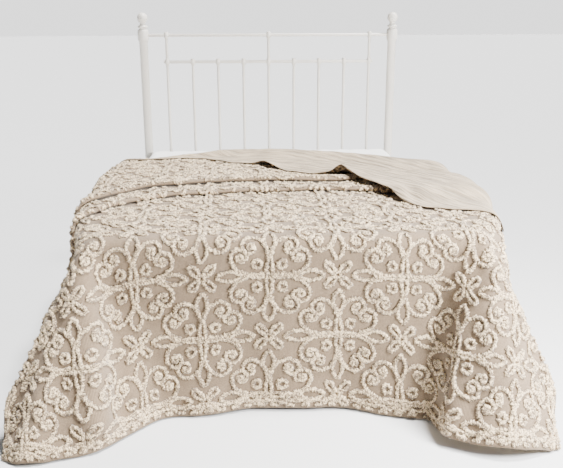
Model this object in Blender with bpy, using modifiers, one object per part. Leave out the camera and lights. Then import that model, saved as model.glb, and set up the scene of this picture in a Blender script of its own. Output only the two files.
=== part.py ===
"""Chenille bedspread draped over a plain queen bed with a tube headboard.

Frame: metres, +Z up, floor at z = 0, x across the bed, foot of the bed toward -Y.
The bedspread is one sheet. Its drape is worked out in three steps:
1. a taut form: flat top, straight drops, and a fan of cloth at each foot corner;
2. that form smoothed, which rolls the cloth over the mattress edges;
3. each lengthwise thread laid on it, with two tucks and a turned-back head end.
"""
import math

import bmesh
import bpy
import numpy as np

# Mattress and base
MATTRESS_WIDTH = 1.52
MATTRESS_LENGTH = 2.03
MATTRESS_TOP = 0.715
MATTRESS_THICK = 0.28
MATTRESS_ROUND = 0.055
BASE_THICK = 0.20
BASE_INSET = 0.012
BASE_ROUND = 0.012
TOUCH_GAP = 0.0003
WELD_DISTANCE = 0.0001
PIECES = "chenille_bedspread_on_bed"

# Bed frame
RAIL_THICK = 0.030
RAIL_HEIGHT = 0.040
LEG_RADIUS = 0.024
LEG_INSET = 0.16

# Headboard of painted tube
POST_SPACING = 1.556
POST_RADIUS = 0.026
BOARD_Y = MATTRESS_LENGTH / 2 + 0.045
TOP_RAIL_Z = 1.426
SECOND_RAIL_Z = 1.264
LOW_RAIL_Z = 0.560
RAIL_RADIUS = 0.0095
SPINDLE_RADIUS = 0.0085
SPINDLE_STEP = 0.159
SPINDLES_EACH_SIDE = 4
UPRIGHT_EVERY = 4
RAIL_OVERHANG = 0.022
KNOB_PROFILE = (
    (0.0, 0.021), (0.007, 0.019), (0.012, 0.013), (0.0165, 0.004),
    (0.0165, -0.004), (0.0125, -0.012), (0.0125, -0.022), (0.0, -0.022),
)
KNOB_BELOW = 0.022
KNOB_TOP = 0.021
FINIAL_RADIUS = 0.032
FINIAL_TOP_Z = 1.562

# Bedspread, cut size and lie
SPREAD_WIDTH = 2.59
SPREAD_LENGTH = 3.00
CLOTH_THICK = 0.002
CLOTH_HALF_WIDTH = 0.777
CLOTH_FOOT_Y = -MATTRESS_LENGTH / 2 - 0.015
CLOTH_TOP_Z = MATTRESS_TOP + 0.0055
FOOT_DROP = 0.710
FOOT_FLARE = 0.032
FLOOR_CLEAR = 0.005
EDGE_SOFTNESS = 0.040
TAUT_STEP = 0.010
TAUT_MARGIN = 0.10

# Gentle waves of the hanging cloth: depth at the hem and length of a wave
FOOT_WAVE = 0.010
FOOT_WAVE_LENGTH = 0.37
SIDE_WAVE = 0.022
SIDE_WAVE_LENGTH = 0.52

# Fan of cloth at a foot corner. The fan angle runs round the mattress corner in the flat cloth:
# 0 along the foot edge, 90 down the foot drop, 180 down the side drop, 270 along the side edge.
# Each thread hangs at a lean from straight down, turned by the turn angle (0 toward the middle
# of the foot edge, 90 away from the foot, 180 away from the side, 270 toward the head).
FAN_COLUMNS = ("fan", "lean", "turn", "ease")
LEFT_FAN = (
    (0, 90, 0, 1.00),
    (55, 35, 0, 1.00),
    (70, 21, 10, 1.02),
    (81, 17, 40, 1.04),
    (91, 20.5, 72, 1.07),
    (106, 24.5, 104, 1.07),
    (118, 29.5, 121, 1.01),
    (127, 28.5, 134, 0.97),
    (144, 31, 147, 0.99),
    (164, 17, 143, 1.00),
    (178, 11, 200, 1.00),
    (194, 26, 212, 1.00),
    (210, 31, 243, 1.00),
    (231, 51, 270, 1.00),
    (270, 90, 270, 1.00),
)
RIGHT_FAN = (
    (0, 90, 0, 1.00),
    (52, 38, 0, 1.00),
    (63, 28, 8, 1.02),
    (71, 21, 22, 1.04),
    (80, 22, 47, 1.06),
    (91, 28, 67, 1.09),
    (108, 31, 93, 1.05),
    (127, 28.5, 122, 0.96),
    (136, 27.5, 130, 0.98),
    (144, 29.5, 139, 1.00),
    (164, 17, 142, 1.00),
    (178, 11, 195, 1.00),
    (194, 26, 212, 1.00),
    (210, 31, 243, 1.00),
    (231, 51, 270, 1.00),
    (270, 90, 270, 1.00),
)

# How far the loose cloth stands out past each mattress side, along the bed
SWELL_COLUMNS = ("y", "left", "right")
SWELL = (
    (-1.03, 0.000, 0.000),
    (-0.95, 0.030, 0.025),
    (-0.84, 0.068, 0.095),
    (-0.70, 0.090, 0.140),
    (-0.40, 0.102, 0.160),
    (-0.05, 0.148, 0.165),
    (0.24, 0.162, 0.155),
    (0.50, 0.135, 0.120),
    (0.72, 0.075, 0.065),
    (1.30, 0.020, 0.020),
)

# Lines across the bed: front lip of each tuck, the crest where the head end turns back, and the
# size of the roll there
LINE_COLUMNS = ("s", "first_lip", "second_lip", "crest", "roll")
LINES = (
    (-1.295, -0.80, -0.58, 0.60, 0.35),
    (-0.950, -0.76, -0.55, 0.60, 0.35),
    (-0.820, -0.67, -0.45, 0.61, 0.35),
    (-0.745, -0.54, -0.35, 0.61, 0.35),
    (-0.640, -0.44, -0.24, 0.64, 0.38),
    (-0.490, -0.35, -0.18, 0.68, 0.65),
    (-0.320, -0.31, -0.14, 0.74, 0.95),
    (-0.150, -0.29, -0.12, 0.770, 1.00),
    (0.000, -0.28, -0.115, 0.770, 1.00),
    (0.290, -0.28, -0.130, 0.68, 1.00),
    (0.560, -0.34, -0.100, 0.54, 1.00),
    (0.720, -0.38, -0.100, 0.43, 1.00),
    (0.900, -0.41, -0.110, 0.33, 1.00),
    (1.295, -0.43, -0.120, 0.22, 1.00),
)

# Hem of the turned-back head end, seen from above: where each thread ends
HEM_COLUMNS = ("s", "x", "y")
TURNED_HEM = (
    (-1.295, -1.295, 0.570),
    (-0.900, -0.900, 0.573),
    (-0.750, -0.750, 0.580),
    (-0.600, -0.590, 0.605),
    (-0.400, -0.400, 0.575),
    (-0.200, -0.235, 0.455),
    (0.000, -0.085, 0.385),
    (0.150, 0.060, 0.205),
    (0.300, 0.170, 0.125),
    (0.470, 0.300, 0.045),
    (0.570, 0.380, -0.147),
    (0.680, 0.467, -0.334),
    (0.780, 0.540, -0.490),
    (0.880, 0.610, -0.625),
    (0.990, 0.705, -0.675),
    (1.100, 0.800, -0.700),
    (1.200, 0.885, -0.735),
    (1.295, 0.965, -0.770),
)

# Section of one tuck, thread by thread: measured from the front lip or from the inner turn
TUCK_COLUMNS = ("from_line", "ahead", "lift")
TUCK_SECTION = (
    ("lip", -0.060, 0.0000),
    ("turn", -0.012, 0.0000),
    ("turn", -0.004, 0.0050),
    ("turn", -0.012, 0.0100),
    ("lip", 0.022, 0.0100),
    ("lip", 0.005, 0.0098),
    ("lip", -0.005, 0.0150),
    ("lip", 0.000, 0.0225),
    ("lip", 0.016, 0.0255),
    ("lip", 0.042, 0.0195),
)
TUCK_LEVEL = 0.0165
TUCK_SETTLE = 0.075
PAST_TURN = 0.012
LONGEST_SPAN = 0.085
LEAST_TUCK = 0.045
MOST_TUCK = 0.250
FIRST_TUCK_SHARE = 0.47

# Section of the crest where the head end turns back, at full size
CREST_COLUMNS = ("ahead", "lift")
CREST_SECTION = (
    (-0.120, 0.000),
    (-0.040, 0.001),
    (-0.009, 0.008),
    (0.000, 0.020),
    (-0.011, 0.033),
    (-0.040, 0.038),
)

# The turned-back layer lies over the tucks and settles in front of them
FLAP_LOW = 0.013
FLAP_OVER_TUCKS = 0.054
FLAP_FRONT = (-0.13, -0.02)
FLAP_BACK = (0.02, 0.14)
FLAP_SAG = 0.35
HEM_LIFT_COLUMNS = ("s", "height", "half_width")
HEM_LIFTS = (
    (0.045, 0.026, 0.055),
    (0.500, 0.034, 0.070),
)

# Long soft folds of the hanging cloth. Each runs straight on the flat cloth, stands out by its
# height (a hollow where negative) and fades away over its half width.
FOLD_COLUMNS = ("from_s", "from_v", "to_s", "to_v", "from_height", "to_height", "half_width")
FOLDS = (
    (-0.690, -0.14, -0.690, -0.62, -0.004, -0.026, 0.050),
    (-0.790, -0.06, -0.815, -0.62, 0.012, 0.040, 0.055),
    (-0.930, -0.12, -0.960, -0.62, -0.004, -0.010, 0.050),
    (0.610, -0.18, 0.565, -0.70, -0.004, -0.026, 0.035),
    (0.700, -0.06, 0.725, -0.70, 0.006, 0.048, 0.058),
    (0.970, 0.12, 1.060, 0.34, 0.036, 0.036, 0.090),
)

# Rows of faces along a thread, as fixed stations and as shares between two lines
FOOT_STATIONS = (
    -FOOT_DROP, -0.690, -0.630, -0.560, -0.500, -0.445, -0.395, -0.345, -0.285,
    -0.210, -0.150, -0.100, -0.060, -0.025, 0.010, 0.050, 0.100,
)
FRONT_SHARES = (0.30, 0.65)
BACK_SHARES = (0.35, 0.70)
FLAP_SHARES = (0.12, 0.26, 0.40, 0.54, 0.68, 0.82, 0.93, 1.00)


def column(table, names, name):
    """One named column of a table as an array."""
    return np.array([row[names.index(name)] for row in table], dtype=float)


def smooth_through(knots, values, at):
    """Cubic curve through the rows of a table, with each row's slope taken from its neighbours."""
    slopes = np.gradient(values, knots)
    at = np.clip(at, knots[0], knots[-1])
    i = np.clip(np.searchsorted(knots, at, side="right") - 1, 0, len(knots) - 2)
    span = knots[i + 1] - knots[i]
    f = (at - knots[i]) / span
    rise = f * f * (3 - 2 * f)
    leave = f * (1 - f) ** 2 * span * slopes[i]
    arrive = f * f * (f - 1) * span * slopes[i + 1]
    return values[i] * (1 - rise) + values[i + 1] * rise + leave + arrive


def smooth_step(value, start, end):
    """0 before start, 1 after end, and an even S-curve between."""
    f = np.clip((value - start) / (end - start), 0.0, 1.0)
    return f * f * (3 - 2 * f)


def fan_point(table, past_side, past_foot):
    """Where a thread of the corner fan reaches, as offsets outward, toward the head and up.

    past_side and past_foot are the flat distances from the mattress corner. Their angle gives
    the thread's lean and turn by the table, and their length is the distance along it.
    """
    reach = np.hypot(past_side, past_foot)
    fan = np.degrees(np.arctan2(past_foot, -past_side)) % 360.0
    fan = np.where(fan > 315.0, 0.0, fan)
    knots = column(table, FAN_COLUMNS, "fan")
    lean = column(table, FAN_COLUMNS, "lean")
    turn = np.radians(column(table, FAN_COLUMNS, "turn"))
    toward_middle = smooth_through(knots, lean * np.cos(turn), fan)
    past_foot_share = smooth_through(knots, lean * np.sin(turn), fan)
    ease = smooth_through(knots, column(table, FAN_COLUMNS, "ease"), fan)
    lean_now = np.radians(np.hypot(toward_middle, past_foot_share))
    turn_now = np.arctan2(past_foot_share, toward_middle)
    reach = reach * ease
    outward = -reach * np.sin(lean_now) * np.cos(turn_now)
    headward = -reach * np.sin(lean_now) * np.sin(turn_now)
    return outward, headward, -reach * np.cos(lean_now)


def taut_form(s, v):
    """Sharp-edged form of the hanging cloth; v is the distance headward of the foot edge."""
    along = CLOTH_FOOT_Y + v
    swell_y = column(SWELL, SWELL_COLUMNS, "y")
    points = np.stack([s, along, np.full_like(s, CLOTH_TOP_Z)], axis=-1)
    for side, fan, name in ((-1, LEFT_FAN, "left"), (1, RIGHT_FAN, "right")):
        swell = smooth_through(swell_y, column(SWELL, SWELL_COLUMNS, name), along)
        swell = np.where(v > 0, swell, 0.0)
        past_side = side * s - CLOTH_HALF_WIDTH - swell
        outward, headward, up = fan_point(fan, past_side, -v)
        hanging = np.stack([
            side * (CLOTH_HALF_WIDTH + swell + outward),
            CLOTH_FOOT_Y + headward,
            CLOTH_TOP_Z + up,
        ], axis=-1)
        off_top = (side * s >= 0) & ((past_side > 0) | (v < 0))
        points = np.where(off_top[..., None], hanging, points)
    return points


def soften(points):
    """Average of the form over a small square, by running means along each direction, twice."""
    half = int(round(EDGE_SOFTNESS / TAUT_STEP))
    width = 2 * half + 1
    for axis in (0, 1, 0, 1):
        padded = np.pad(points, [(half, half) if a == axis else (0, 0) for a in range(3)], mode="edge")
        total = np.cumsum(padded, axis=axis)
        first = np.take(total, [0], axis=axis) * 0
        total = np.concatenate([first, total], axis=axis)
        count = points.shape[axis]
        high = np.take(total, np.arange(width, width + count), axis=axis)
        low = np.take(total, np.arange(count), axis=axis)
        points = (high - low) / width
    return points


def fold_height(s, v):
    """Height of all the long folds at each flat point, by its distance from each fold's line."""
    height = np.zeros_like(s)
    for from_s, from_v, to_s, to_v, from_height, to_height, half_width in FOLDS:
        run_s = to_s - from_s
        run_v = to_v - from_v
        share = ((s - from_s) * run_s + (v - from_v) * run_v) / (run_s ** 2 + run_v ** 2)
        share = np.clip(share, 0.0, 1.0)
        away = np.hypot(s - from_s - run_s * share, v - from_v - run_v * share)
        height += (from_height + (to_height - from_height) * share) * np.exp(-(away / half_width) ** 2)
    return height


def outward_directions(points):
    """Unit outward direction at every entry of a regular table of points."""
    across = np.gradient(points, TAUT_STEP, axis=0)
    lengthwise = np.gradient(points, TAUT_STEP, axis=1)
    outward = np.cross(across, lengthwise)
    return outward / np.linalg.norm(outward, axis=-1, keepdims=True)


def rolled_form():
    """Regular table of the softened form and its outward directions, waves and folds included."""
    s_line = np.arange(-SPREAD_WIDTH / 2 - TAUT_MARGIN, SPREAD_WIDTH / 2 + TAUT_MARGIN, TAUT_STEP)
    v_line = np.arange(-FOOT_DROP - TAUT_MARGIN, MATTRESS_LENGTH + TAUT_MARGIN, TAUT_STEP)
    s, v = np.meshgrid(s_line, v_line, indexing="ij")
    points = soften(taut_form(s, v))
    depth = np.clip((CLOTH_TOP_Z - points[..., 2]) / FOOT_DROP, 0.0, 1.0)
    foot_phase = np.sin(2 * np.pi * s / FOOT_WAVE_LENGTH + 0.7) + 0.4 * np.sin(5.1 * s + 2.0)
    side_phase = np.sin(2 * np.pi * v / SIDE_WAVE_LENGTH + np.sign(s)) + 0.5 * np.sin(7.3 * v)
    on_foot = smooth_step(-v, 0.0, 0.15) * (1 - smooth_step(np.abs(s), 0.55, 0.80))
    on_side = smooth_step(np.abs(s), 0.85, 1.10) * smooth_step(v, 0.05, 0.40)
    points[..., 1] -= FOOT_FLARE * depth ** 1.5 * smooth_step(-v, 0.0, 0.15)
    points[..., 1] -= FOOT_WAVE * depth * on_foot * (1 + foot_phase)
    points[..., 0] += np.sign(s) * SIDE_WAVE * depth * on_side * (1 + side_phase)
    points += outward_directions(points) * fold_height(s, v)[..., None]
    points[..., 2] = np.maximum(points[..., 2], FLOOR_CLEAR)
    return s_line[0], v_line[0], points, outward_directions(points)


def read_form(form, s, v):
    """Point and outward direction of the form at s and v, blended between table entries."""
    s_start, v_start, points, outward = form
    a = np.clip((s - s_start) / TAUT_STEP, 0, points.shape[0] - 1.001)
    b = np.clip((v - v_start) / TAUT_STEP, 0, points.shape[1] - 1.001)
    i = a.astype(int)
    j = b.astype(int)
    p = (a - i)[..., None]
    q = (b - j)[..., None]
    blended = []
    for grid in (points, outward):
        near = grid[i, j] * (1 - q) + grid[i, j + 1] * q
        far = grid[i + 1, j] * (1 - q) + grid[i + 1, j + 1] * q
        blended.append(near * (1 - p) + far * p)
    return blended


def thread_lines(s):
    """Lines that cross each thread, as distances headward of the foot edge, and its hem end."""
    line_s = column(LINES, LINE_COLUMNS, "s")
    lines = {}
    for name in LINE_COLUMNS[1:]:
        lines[name] = smooth_through(line_s, column(LINES, LINE_COLUMNS, name), s)
    for name in ("first_lip", "second_lip", "crest"):
        lines[name] = lines[name] - CLOTH_FOOT_Y
    hem_s = column(TURNED_HEM, HEM_COLUMNS, "s")
    lines["hem_x"] = smooth_through(hem_s, column(TURNED_HEM, HEM_COLUMNS, "x"), s)
    lines["hem"] = smooth_through(hem_s, column(TURNED_HEM, HEM_COLUMNS, "y"), s) - CLOTH_FOOT_Y
    flap = np.hypot(lines["hem_x"] - s, lines["hem"] - lines["crest"])
    spare = SPREAD_LENGTH - FOOT_DROP - lines["crest"] - flap
    tucked = np.clip(spare / 2, 2 * LEAST_TUCK, MOST_TUCK)
    first = np.maximum(tucked * FIRST_TUCK_SHARE, LEAST_TUCK)
    lines["first_turn"] = lines["first_lip"] + first
    lines["second_turn"] = lines["second_lip"] + np.maximum(tucked - first, LEAST_TUCK)
    return lines


def head_end_stations(s, lines):
    """Stations over the crest and down the turned-back layer to its hem."""
    roll = lines["roll"]
    stations = [(s, lines["crest"] + ahead * roll, lift * roll) for ahead, lift in CREST_SECTION]
    last_v = stations[-1][1]
    last_lift = stations[-1][2]
    for share in FLAP_SHARES:
        side = s + (lines["hem_x"] - s) * share
        v = last_v + (lines["hem"] - last_v) * share
        front = lines["first_lip"]
        back = lines["second_turn"]
        over_tucks = smooth_step(v, front + FLAP_FRONT[0], front + FLAP_FRONT[1])
        over_tucks = over_tucks * (1 - smooth_step(v, back + FLAP_BACK[0], back + FLAP_BACK[1]))
        resting = FLAP_LOW + (FLAP_OVER_TUCKS - FLAP_LOW) * over_tucks
        lift = np.maximum(resting, last_lift * (1 - smooth_step(share, 0.0, FLAP_SAG)))
        for middle, height, half_width in HEM_LIFTS:
            lift = lift + height * np.exp(-((s - middle) / half_width) ** 2) * share ** 4
        stations.append((side, v, lift))
    return stations


def split_long_spans(stations):
    """The same stations with more between any two that stand far apart on some thread."""
    split = [stations[0]]
    for before, after in zip(stations, stations[1:]):
        count = int(np.ceil(np.abs(after[1] - before[1]).max() / LONGEST_SPAN))
        for k in range(1, count + 1):
            split.append(tuple(b + (a - b) * k / count for b, a in zip(before, after)))
    return split


def thread_stations(s):
    """Stations along each thread: sideways place, distance headward and lift off the form."""
    lines = thread_lines(s)
    stations = [(s, np.full_like(s, v), np.zeros_like(s)) for v in FOOT_STATIONS]
    start = lines["first_lip"] + TUCK_SECTION[0][1]
    for share in FRONT_SHARES:
        v = FOOT_STATIONS[-1] + (start - FOOT_STATIONS[-1]) * share
        stations.append((s, v, np.zeros_like(s)))
    tucks = []
    for number, name in enumerate(("first", "second")):
        for from_line, ahead, lift in TUCK_SECTION:
            v = lines[name + "_" + from_line] + ahead
            tucks.append((s, v, np.full_like(s, lift + number * TUCK_LEVEL)))
    settled = lines["second_turn"] + TUCK_SETTLE
    tucks.append((s, lines["second_turn"] + PAST_TURN, np.full_like(s, 2 * TUCK_LEVEL)))
    tucks.append((s, settled, np.zeros_like(s)))
    stations += split_long_spans(tucks)
    crest_start = lines["crest"] + CREST_SECTION[0][0]
    for share in BACK_SHARES:
        stations.append((s, settled + (crest_start - settled) * share, np.zeros_like(s)))
    stations += head_end_stations(s, lines)
    return [np.stack(values, axis=-1) for values in zip(*stations)]


def thread_places():
    """Where the threads stand across the flat cloth, closer at the edges and the lifted hem."""
    side_drop = np.linspace(-SPREAD_WIDTH / 2, -0.68, 12)
    middle = np.array([-0.59, -0.49, -0.38, -0.27, -0.16, -0.07, 0.0, 0.045, 0.09, 0.17])
    right_middle = np.array([0.26, 0.35, 0.43, 0.50, 0.57, 0.62])
    return np.concatenate([side_drop, middle, right_middle, -side_drop[::-1]])


def make_material(name, color, roughness, metallic=0.0):
    """Principled material of one colour."""
    material = bpy.data.materials.new(name)
    material.use_nodes = True
    shader = material.node_tree.nodes["Principled BSDF"]
    shader.inputs["Base Color"].default_value = (*color, 1.0)
    shader.inputs["Roughness"].default_value = roughness
    shader.inputs["Metallic"].default_value = metallic
    material.diffuse_color = (*color, 1.0)
    return material


def add_object(name, mesh, material):
    """Object in the bed's collection with one material."""
    made = bpy.data.objects.new(name, mesh)
    mesh.materials.append(material)
    bpy.data.collections[PIECES].objects.link(made)
    return made


def make_bedspread(material):
    """One sheet: a grid of threads and stations, thickened on both faces."""
    form = rolled_form()
    side, v, lift = thread_stations(thread_places())
    points, outward = read_form(form, side, v)
    points = points + outward * lift[..., None]
    rows, stations = side.shape
    mesh = bpy.data.meshes.new("bedspread")
    shell = bmesh.new()
    bmesh.ops.create_grid(shell, x_segments=rows - 1, y_segments=stations - 1, size=1.0)
    shell.verts.ensure_lookup_table()
    for vert in shell.verts:
        i = round((vert.co.x + 1) / 2 * (rows - 1))
        j = round((vert.co.y + 1) / 2 * (stations - 1))
        vert.co = points[i, j]
    shell.to_mesh(mesh)
    shell.free()
    spread = add_object("bedspread", mesh, material)
    thicken = spread.modifiers.new("cloth thickness", "SOLIDIFY")
    thicken.thickness = CLOTH_THICK
    thicken.offset = 0.0
    thicken.use_even_offset = False
    mesh.shade_smooth()
    return spread


def make_box(name, size, center, rounding, segments, material):
    """Box of a given size with rounded edges."""
    mesh = bpy.data.meshes.new(name)
    box = bmesh.new()
    bmesh.ops.create_cube(box, size=1.0)
    bmesh.ops.scale(box, vec=size, verts=box.verts)
    bmesh.ops.translate(box, vec=center, verts=box.verts)
    box.to_mesh(mesh)
    box.free()
    made = add_object(name, mesh, material)
    if rounding > 0:
        bevel = made.modifiers.new("rounded edges", "BEVEL")
        bevel.width = rounding
        bevel.segments = segments
    return made


def mesh_of_curve(curve_object, material):
    """The same object as a mesh with its end caps welded on."""
    bpy.context.view_layer.update()
    evaluated = curve_object.evaluated_get(bpy.context.evaluated_depsgraph_get())
    mesh = bpy.data.meshes.new_from_object(evaluated)
    welded = bmesh.new()
    welded.from_mesh(mesh)
    bmesh.ops.remove_doubles(welded, verts=welded.verts, dist=WELD_DISTANCE)
    welded.to_mesh(mesh)
    welded.free()
    name = curve_object.name
    placed = curve_object.matrix_world.copy()
    bpy.data.objects.remove(curve_object, do_unlink=True)
    mesh.materials.clear()
    made = add_object(name, mesh, material)
    made.matrix_world = placed
    return made


def make_tube(name, start, end, radius, material):
    """Straight tube with closed ends."""
    curve = bpy.data.curves.new(name, "CURVE")
    curve.dimensions = "3D"
    curve.bevel_depth = radius
    curve.bevel_resolution = 2
    curve.use_fill_caps = True
    spline = curve.splines.new("POLY")
    spline.points.add(1)
    spline.points[0].co = (*start, 1.0)
    spline.points[1].co = (*end, 1.0)
    return add_object(name, curve, material)


def make_turned(name, profile, center, material, steps=16):
    """Solid of revolution about an upright axis; profile rows are (radius, height), top to bottom."""
    mesh = bpy.data.meshes.new(name)
    outline = bmesh.new()
    verts = [outline.verts.new((radius, 0.0, height)) for radius, height in profile]
    for first, second in zip(verts, verts[1:]):
        outline.edges.new((first, second))
    outline.to_mesh(mesh)
    outline.free()
    made = add_object(name, mesh, material)
    made.location = center
    screw = made.modifiers.new("turned", "SCREW")
    screw.axis = "Z"
    screw.steps = steps
    screw.render_steps = steps
    screw.use_merge_vertices = True
    screw.merge_threshold = WELD_DISTANCE
    return made


def ball_profile(radius, rows, low_angle=180.0):
    """Profile of a ball from its top down to the low angle, in degrees from the top."""
    angles = [math.radians(low_angle) * i / rows for i in range(rows + 1)]
    return [(radius * math.sin(a), radius * math.cos(a)) for a in angles]


def make_post(name, x, material):
    """Head post: ball finial, neck, collar at the top rail and a plain shaft, turned in one piece."""
    ball_z = FINIAL_TOP_Z - FINIAL_RADIUS
    profile = [(r, ball_z + z) for r, z in ball_profile(FINIAL_RADIUS, 7, 152.0)]
    profile[0] = (0.0, FINIAL_TOP_Z)
    profile += [
        (0.017, ball_z - 0.038),
        (0.031, ball_z - 0.048),
        (0.031, ball_z - 0.058),
        (0.020, ball_z - 0.064),
        (0.031, TOP_RAIL_Z + 0.030),
        (0.034, TOP_RAIL_Z + 0.018),
        (0.034, TOP_RAIL_Z - 0.018),
        (0.031, TOP_RAIL_Z - 0.030),
        (POST_RADIUS, TOP_RAIL_Z - 0.036),
        (POST_RADIUS, 0.012),
        (POST_RADIUS - 0.004, 0.0),
        (0.0, 0.0),
    ]
    return make_turned(name, profile, (x, BOARD_Y, 0.0), material)


def make_cross_rail(name, z, half_length, material, knob_places=()):
    """Level tube of the headboard, centred on the bed, with a turned knob at each crossing."""
    tube = make_tube(name, (-half_length, BOARD_Y, z), (half_length, BOARD_Y, z), RAIL_RADIUS, material)
    if not knob_places:
        return tube
    rail = mesh_of_curve(tube, material)
    knobs = bpy.data.collections.new(name + " knobs")
    bpy.context.scene.collection.children.link(knobs)
    for number, x in enumerate(knob_places):
        knob = make_turned("{} knob {}".format(name, number), KNOB_PROFILE, (x, BOARD_Y, z), material, 10)
        bpy.data.collections[PIECES].objects.unlink(knob)
        knobs.objects.link(knob)
        knob.parent = rail
        knob.hide_render = True
        knob.display_type = "WIRE"
    join = rail.modifiers.new("knobs", "BOOLEAN")
    join.operation = "UNION"
    join.operand_type = "COLLECTION"
    join.collection = knobs
    return rail


def make_headboard(material):
    """Posts, three cross rails, and uprights and spindles cut between the rails."""
    for name, x in (("head_post_left", -POST_SPACING / 2), ("head_post_right", POST_SPACING / 2)):
        make_post(name, x, material)
    to_collar = POST_SPACING / 2 - 0.034 - TOUCH_GAP
    to_shaft = POST_SPACING / 2 - POST_RADIUS - TOUCH_GAP
    outer_upright = SPINDLES_EACH_SIDE * SPINDLE_STEP
    places = [i * SPINDLE_STEP for i in range(-SPINDLES_EACH_SIDE, SPINDLES_EACH_SIDE + 1)]
    make_cross_rail("head_top_rail", TOP_RAIL_Z, to_collar, material, places[::UPRIGHT_EVERY])
    make_cross_rail("head_second_rail", SECOND_RAIL_Z, outer_upright + RAIL_OVERHANG, material, places)
    make_cross_rail("head_low_rail", LOW_RAIL_Z, to_shaft, material)
    for number, x in enumerate(places):
        label = "{:02d}".format(number + 1)
        low = (x, BOARD_Y, LOW_RAIL_Z + RAIL_RADIUS + TOUCH_GAP)
        high = (x, BOARD_Y, SECOND_RAIL_Z - KNOB_BELOW - TOUCH_GAP)
        make_tube("head_spindle_" + label, low, high, SPINDLE_RADIUS, material)
        if number % UPRIGHT_EVERY == 0:
            low = (x, BOARD_Y, SECOND_RAIL_Z + KNOB_TOP + TOUCH_GAP)
            high = (x, BOARD_Y, TOP_RAIL_Z - KNOB_BELOW - TOUCH_GAP)
            make_tube("head_upright_" + label, low, high, SPINDLE_RADIUS, material)


def make_bed(mattress_cloth, base_cloth, frame_paint):
    """Mattress, upholstered base, side and end rails, and legs."""
    mattress_low = MATTRESS_TOP - MATTRESS_THICK
    base_top = mattress_low - TOUCH_GAP
    base_low = base_top - BASE_THICK
    rail_top = base_low - TOUCH_GAP
    rail_low = rail_top - RAIL_HEIGHT
    make_box("mattress", (MATTRESS_WIDTH, MATTRESS_LENGTH, MATTRESS_THICK),
             (0, 0, MATTRESS_TOP - MATTRESS_THICK / 2), MATTRESS_ROUND, 4, mattress_cloth)
    base_width = MATTRESS_WIDTH - 2 * BASE_INSET
    base_length = MATTRESS_LENGTH - 2 * BASE_INSET
    make_box("bed_base", (base_width, base_length, BASE_THICK),
             (0, 0, base_top - BASE_THICK / 2), BASE_ROUND, 2, base_cloth)
    rail_z = rail_top - RAIL_HEIGHT / 2
    side_x = base_width / 2 - 2 * RAIL_THICK
    end_y = base_length / 2 - 2 * RAIL_THICK
    side_length = 2 * end_y + RAIL_THICK
    for name, x in (("side_rail_left", -side_x), ("side_rail_right", side_x), ("middle_rail", 0.0)):
        make_box(name, (RAIL_THICK, side_length, RAIL_HEIGHT), (x, 0, rail_z), 0.0, 1, frame_paint)
    half_width = side_x - RAIL_THICK - 2 * TOUCH_GAP
    for label, sign in (("foot", -1), ("head", 1)):
        for side, direction in (("left", -1), ("right", 1)):
            center = (direction * (half_width / 2 + RAIL_THICK / 2 + TOUCH_GAP), sign * end_y, rail_z)
            make_box("cross_rail_" + label + "_" + side, (half_width, RAIL_THICK, RAIL_HEIGHT),
                     center, 0.0, 1, frame_paint)
    leg_y = MATTRESS_LENGTH / 2 - LEG_INSET
    for label, y in (("foot", -leg_y), ("head", leg_y)):
        for side, x in (("left", -side_x), ("middle", 0.0), ("right", side_x)):
            profile = [
                (0.0, rail_low - TOUCH_GAP),
                (LEG_RADIUS, rail_low - TOUCH_GAP),
                (LEG_RADIUS, 0.020),
                (LEG_RADIUS + 0.008, 0.014),
                (LEG_RADIUS + 0.008, 0.0),
                (0.0, 0.0),
            ]
            make_turned("leg_" + label + "_" + side, profile, (x, y, 0.0), frame_paint, 14)


def stand_on_origin(collection):
    """Hang every object on an empty that puts the middle of the whole bed's floor area at the origin."""
    bpy.context.view_layer.update()
    depsgraph = bpy.context.evaluated_depsgraph_get()
    low = np.full(3, np.inf)
    high = -low
    for part in collection.objects:
        evaluated = part.evaluated_get(depsgraph)
        mesh = evaluated.to_mesh()
        flat = np.empty(len(mesh.vertices) * 3, dtype=np.float32)
        mesh.vertices.foreach_get("co", flat)
        placed = flat.reshape(-1, 3) + np.array(part.matrix_world.translation)
        low = np.minimum(low, placed.min(axis=0))
        high = np.maximum(high, placed.max(axis=0))
        evaluated.to_mesh_clear()
    middle = (low + high) / 2
    origin = bpy.data.objects.new("bed_frame_origin", None)
    origin.location = (-middle[0], -middle[1], 0.0)
    for part in collection.objects:
        part.parent = origin
    collection.objects.link(origin)


def main():
    for old in list(bpy.data.objects):
        bpy.data.objects.remove(old, do_unlink=True)
    collection = bpy.data.collections.new(PIECES)
    bpy.context.scene.collection.children.link(collection)
    spread_cloth = make_material("chenille cotton", (0.62, 0.53, 0.42), 0.95)
    mattress_cloth = make_material("white ticking", (0.80, 0.79, 0.77), 0.90)
    base_cloth = make_material("base cover", (0.74, 0.72, 0.69), 0.90)
    frame_paint = make_material("frame paint", (0.22, 0.21, 0.20), 0.50, 0.30)
    board_paint = make_material("ivory paint", (0.80, 0.78, 0.73), 0.40)
    make_bed(mattress_cloth, base_cloth, frame_paint)
    make_headboard(board_paint)
    make_bedspread(spread_cloth)
    stand_on_origin(collection)


main()
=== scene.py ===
"""Chenille bedspread draped over a plain bed with a tube headboard.

Frame: metres, +Z up, floor at z = 0, foot of the bed toward -Y. The cloth is worked out in flat
coordinates, s across it and t along it from the foot hem, and each flat point is carried to its
place on the draped cloth. The tufted lines are charted on the same flat coordinates.
"""
import math

import bpy
import numpy as np
from bpy.props import FloatProperty, FloatVectorProperty, PointerProperty
from bpy.types import Operator, Panel, PropertyGroup
from mathutils import Matrix, Vector


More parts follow.
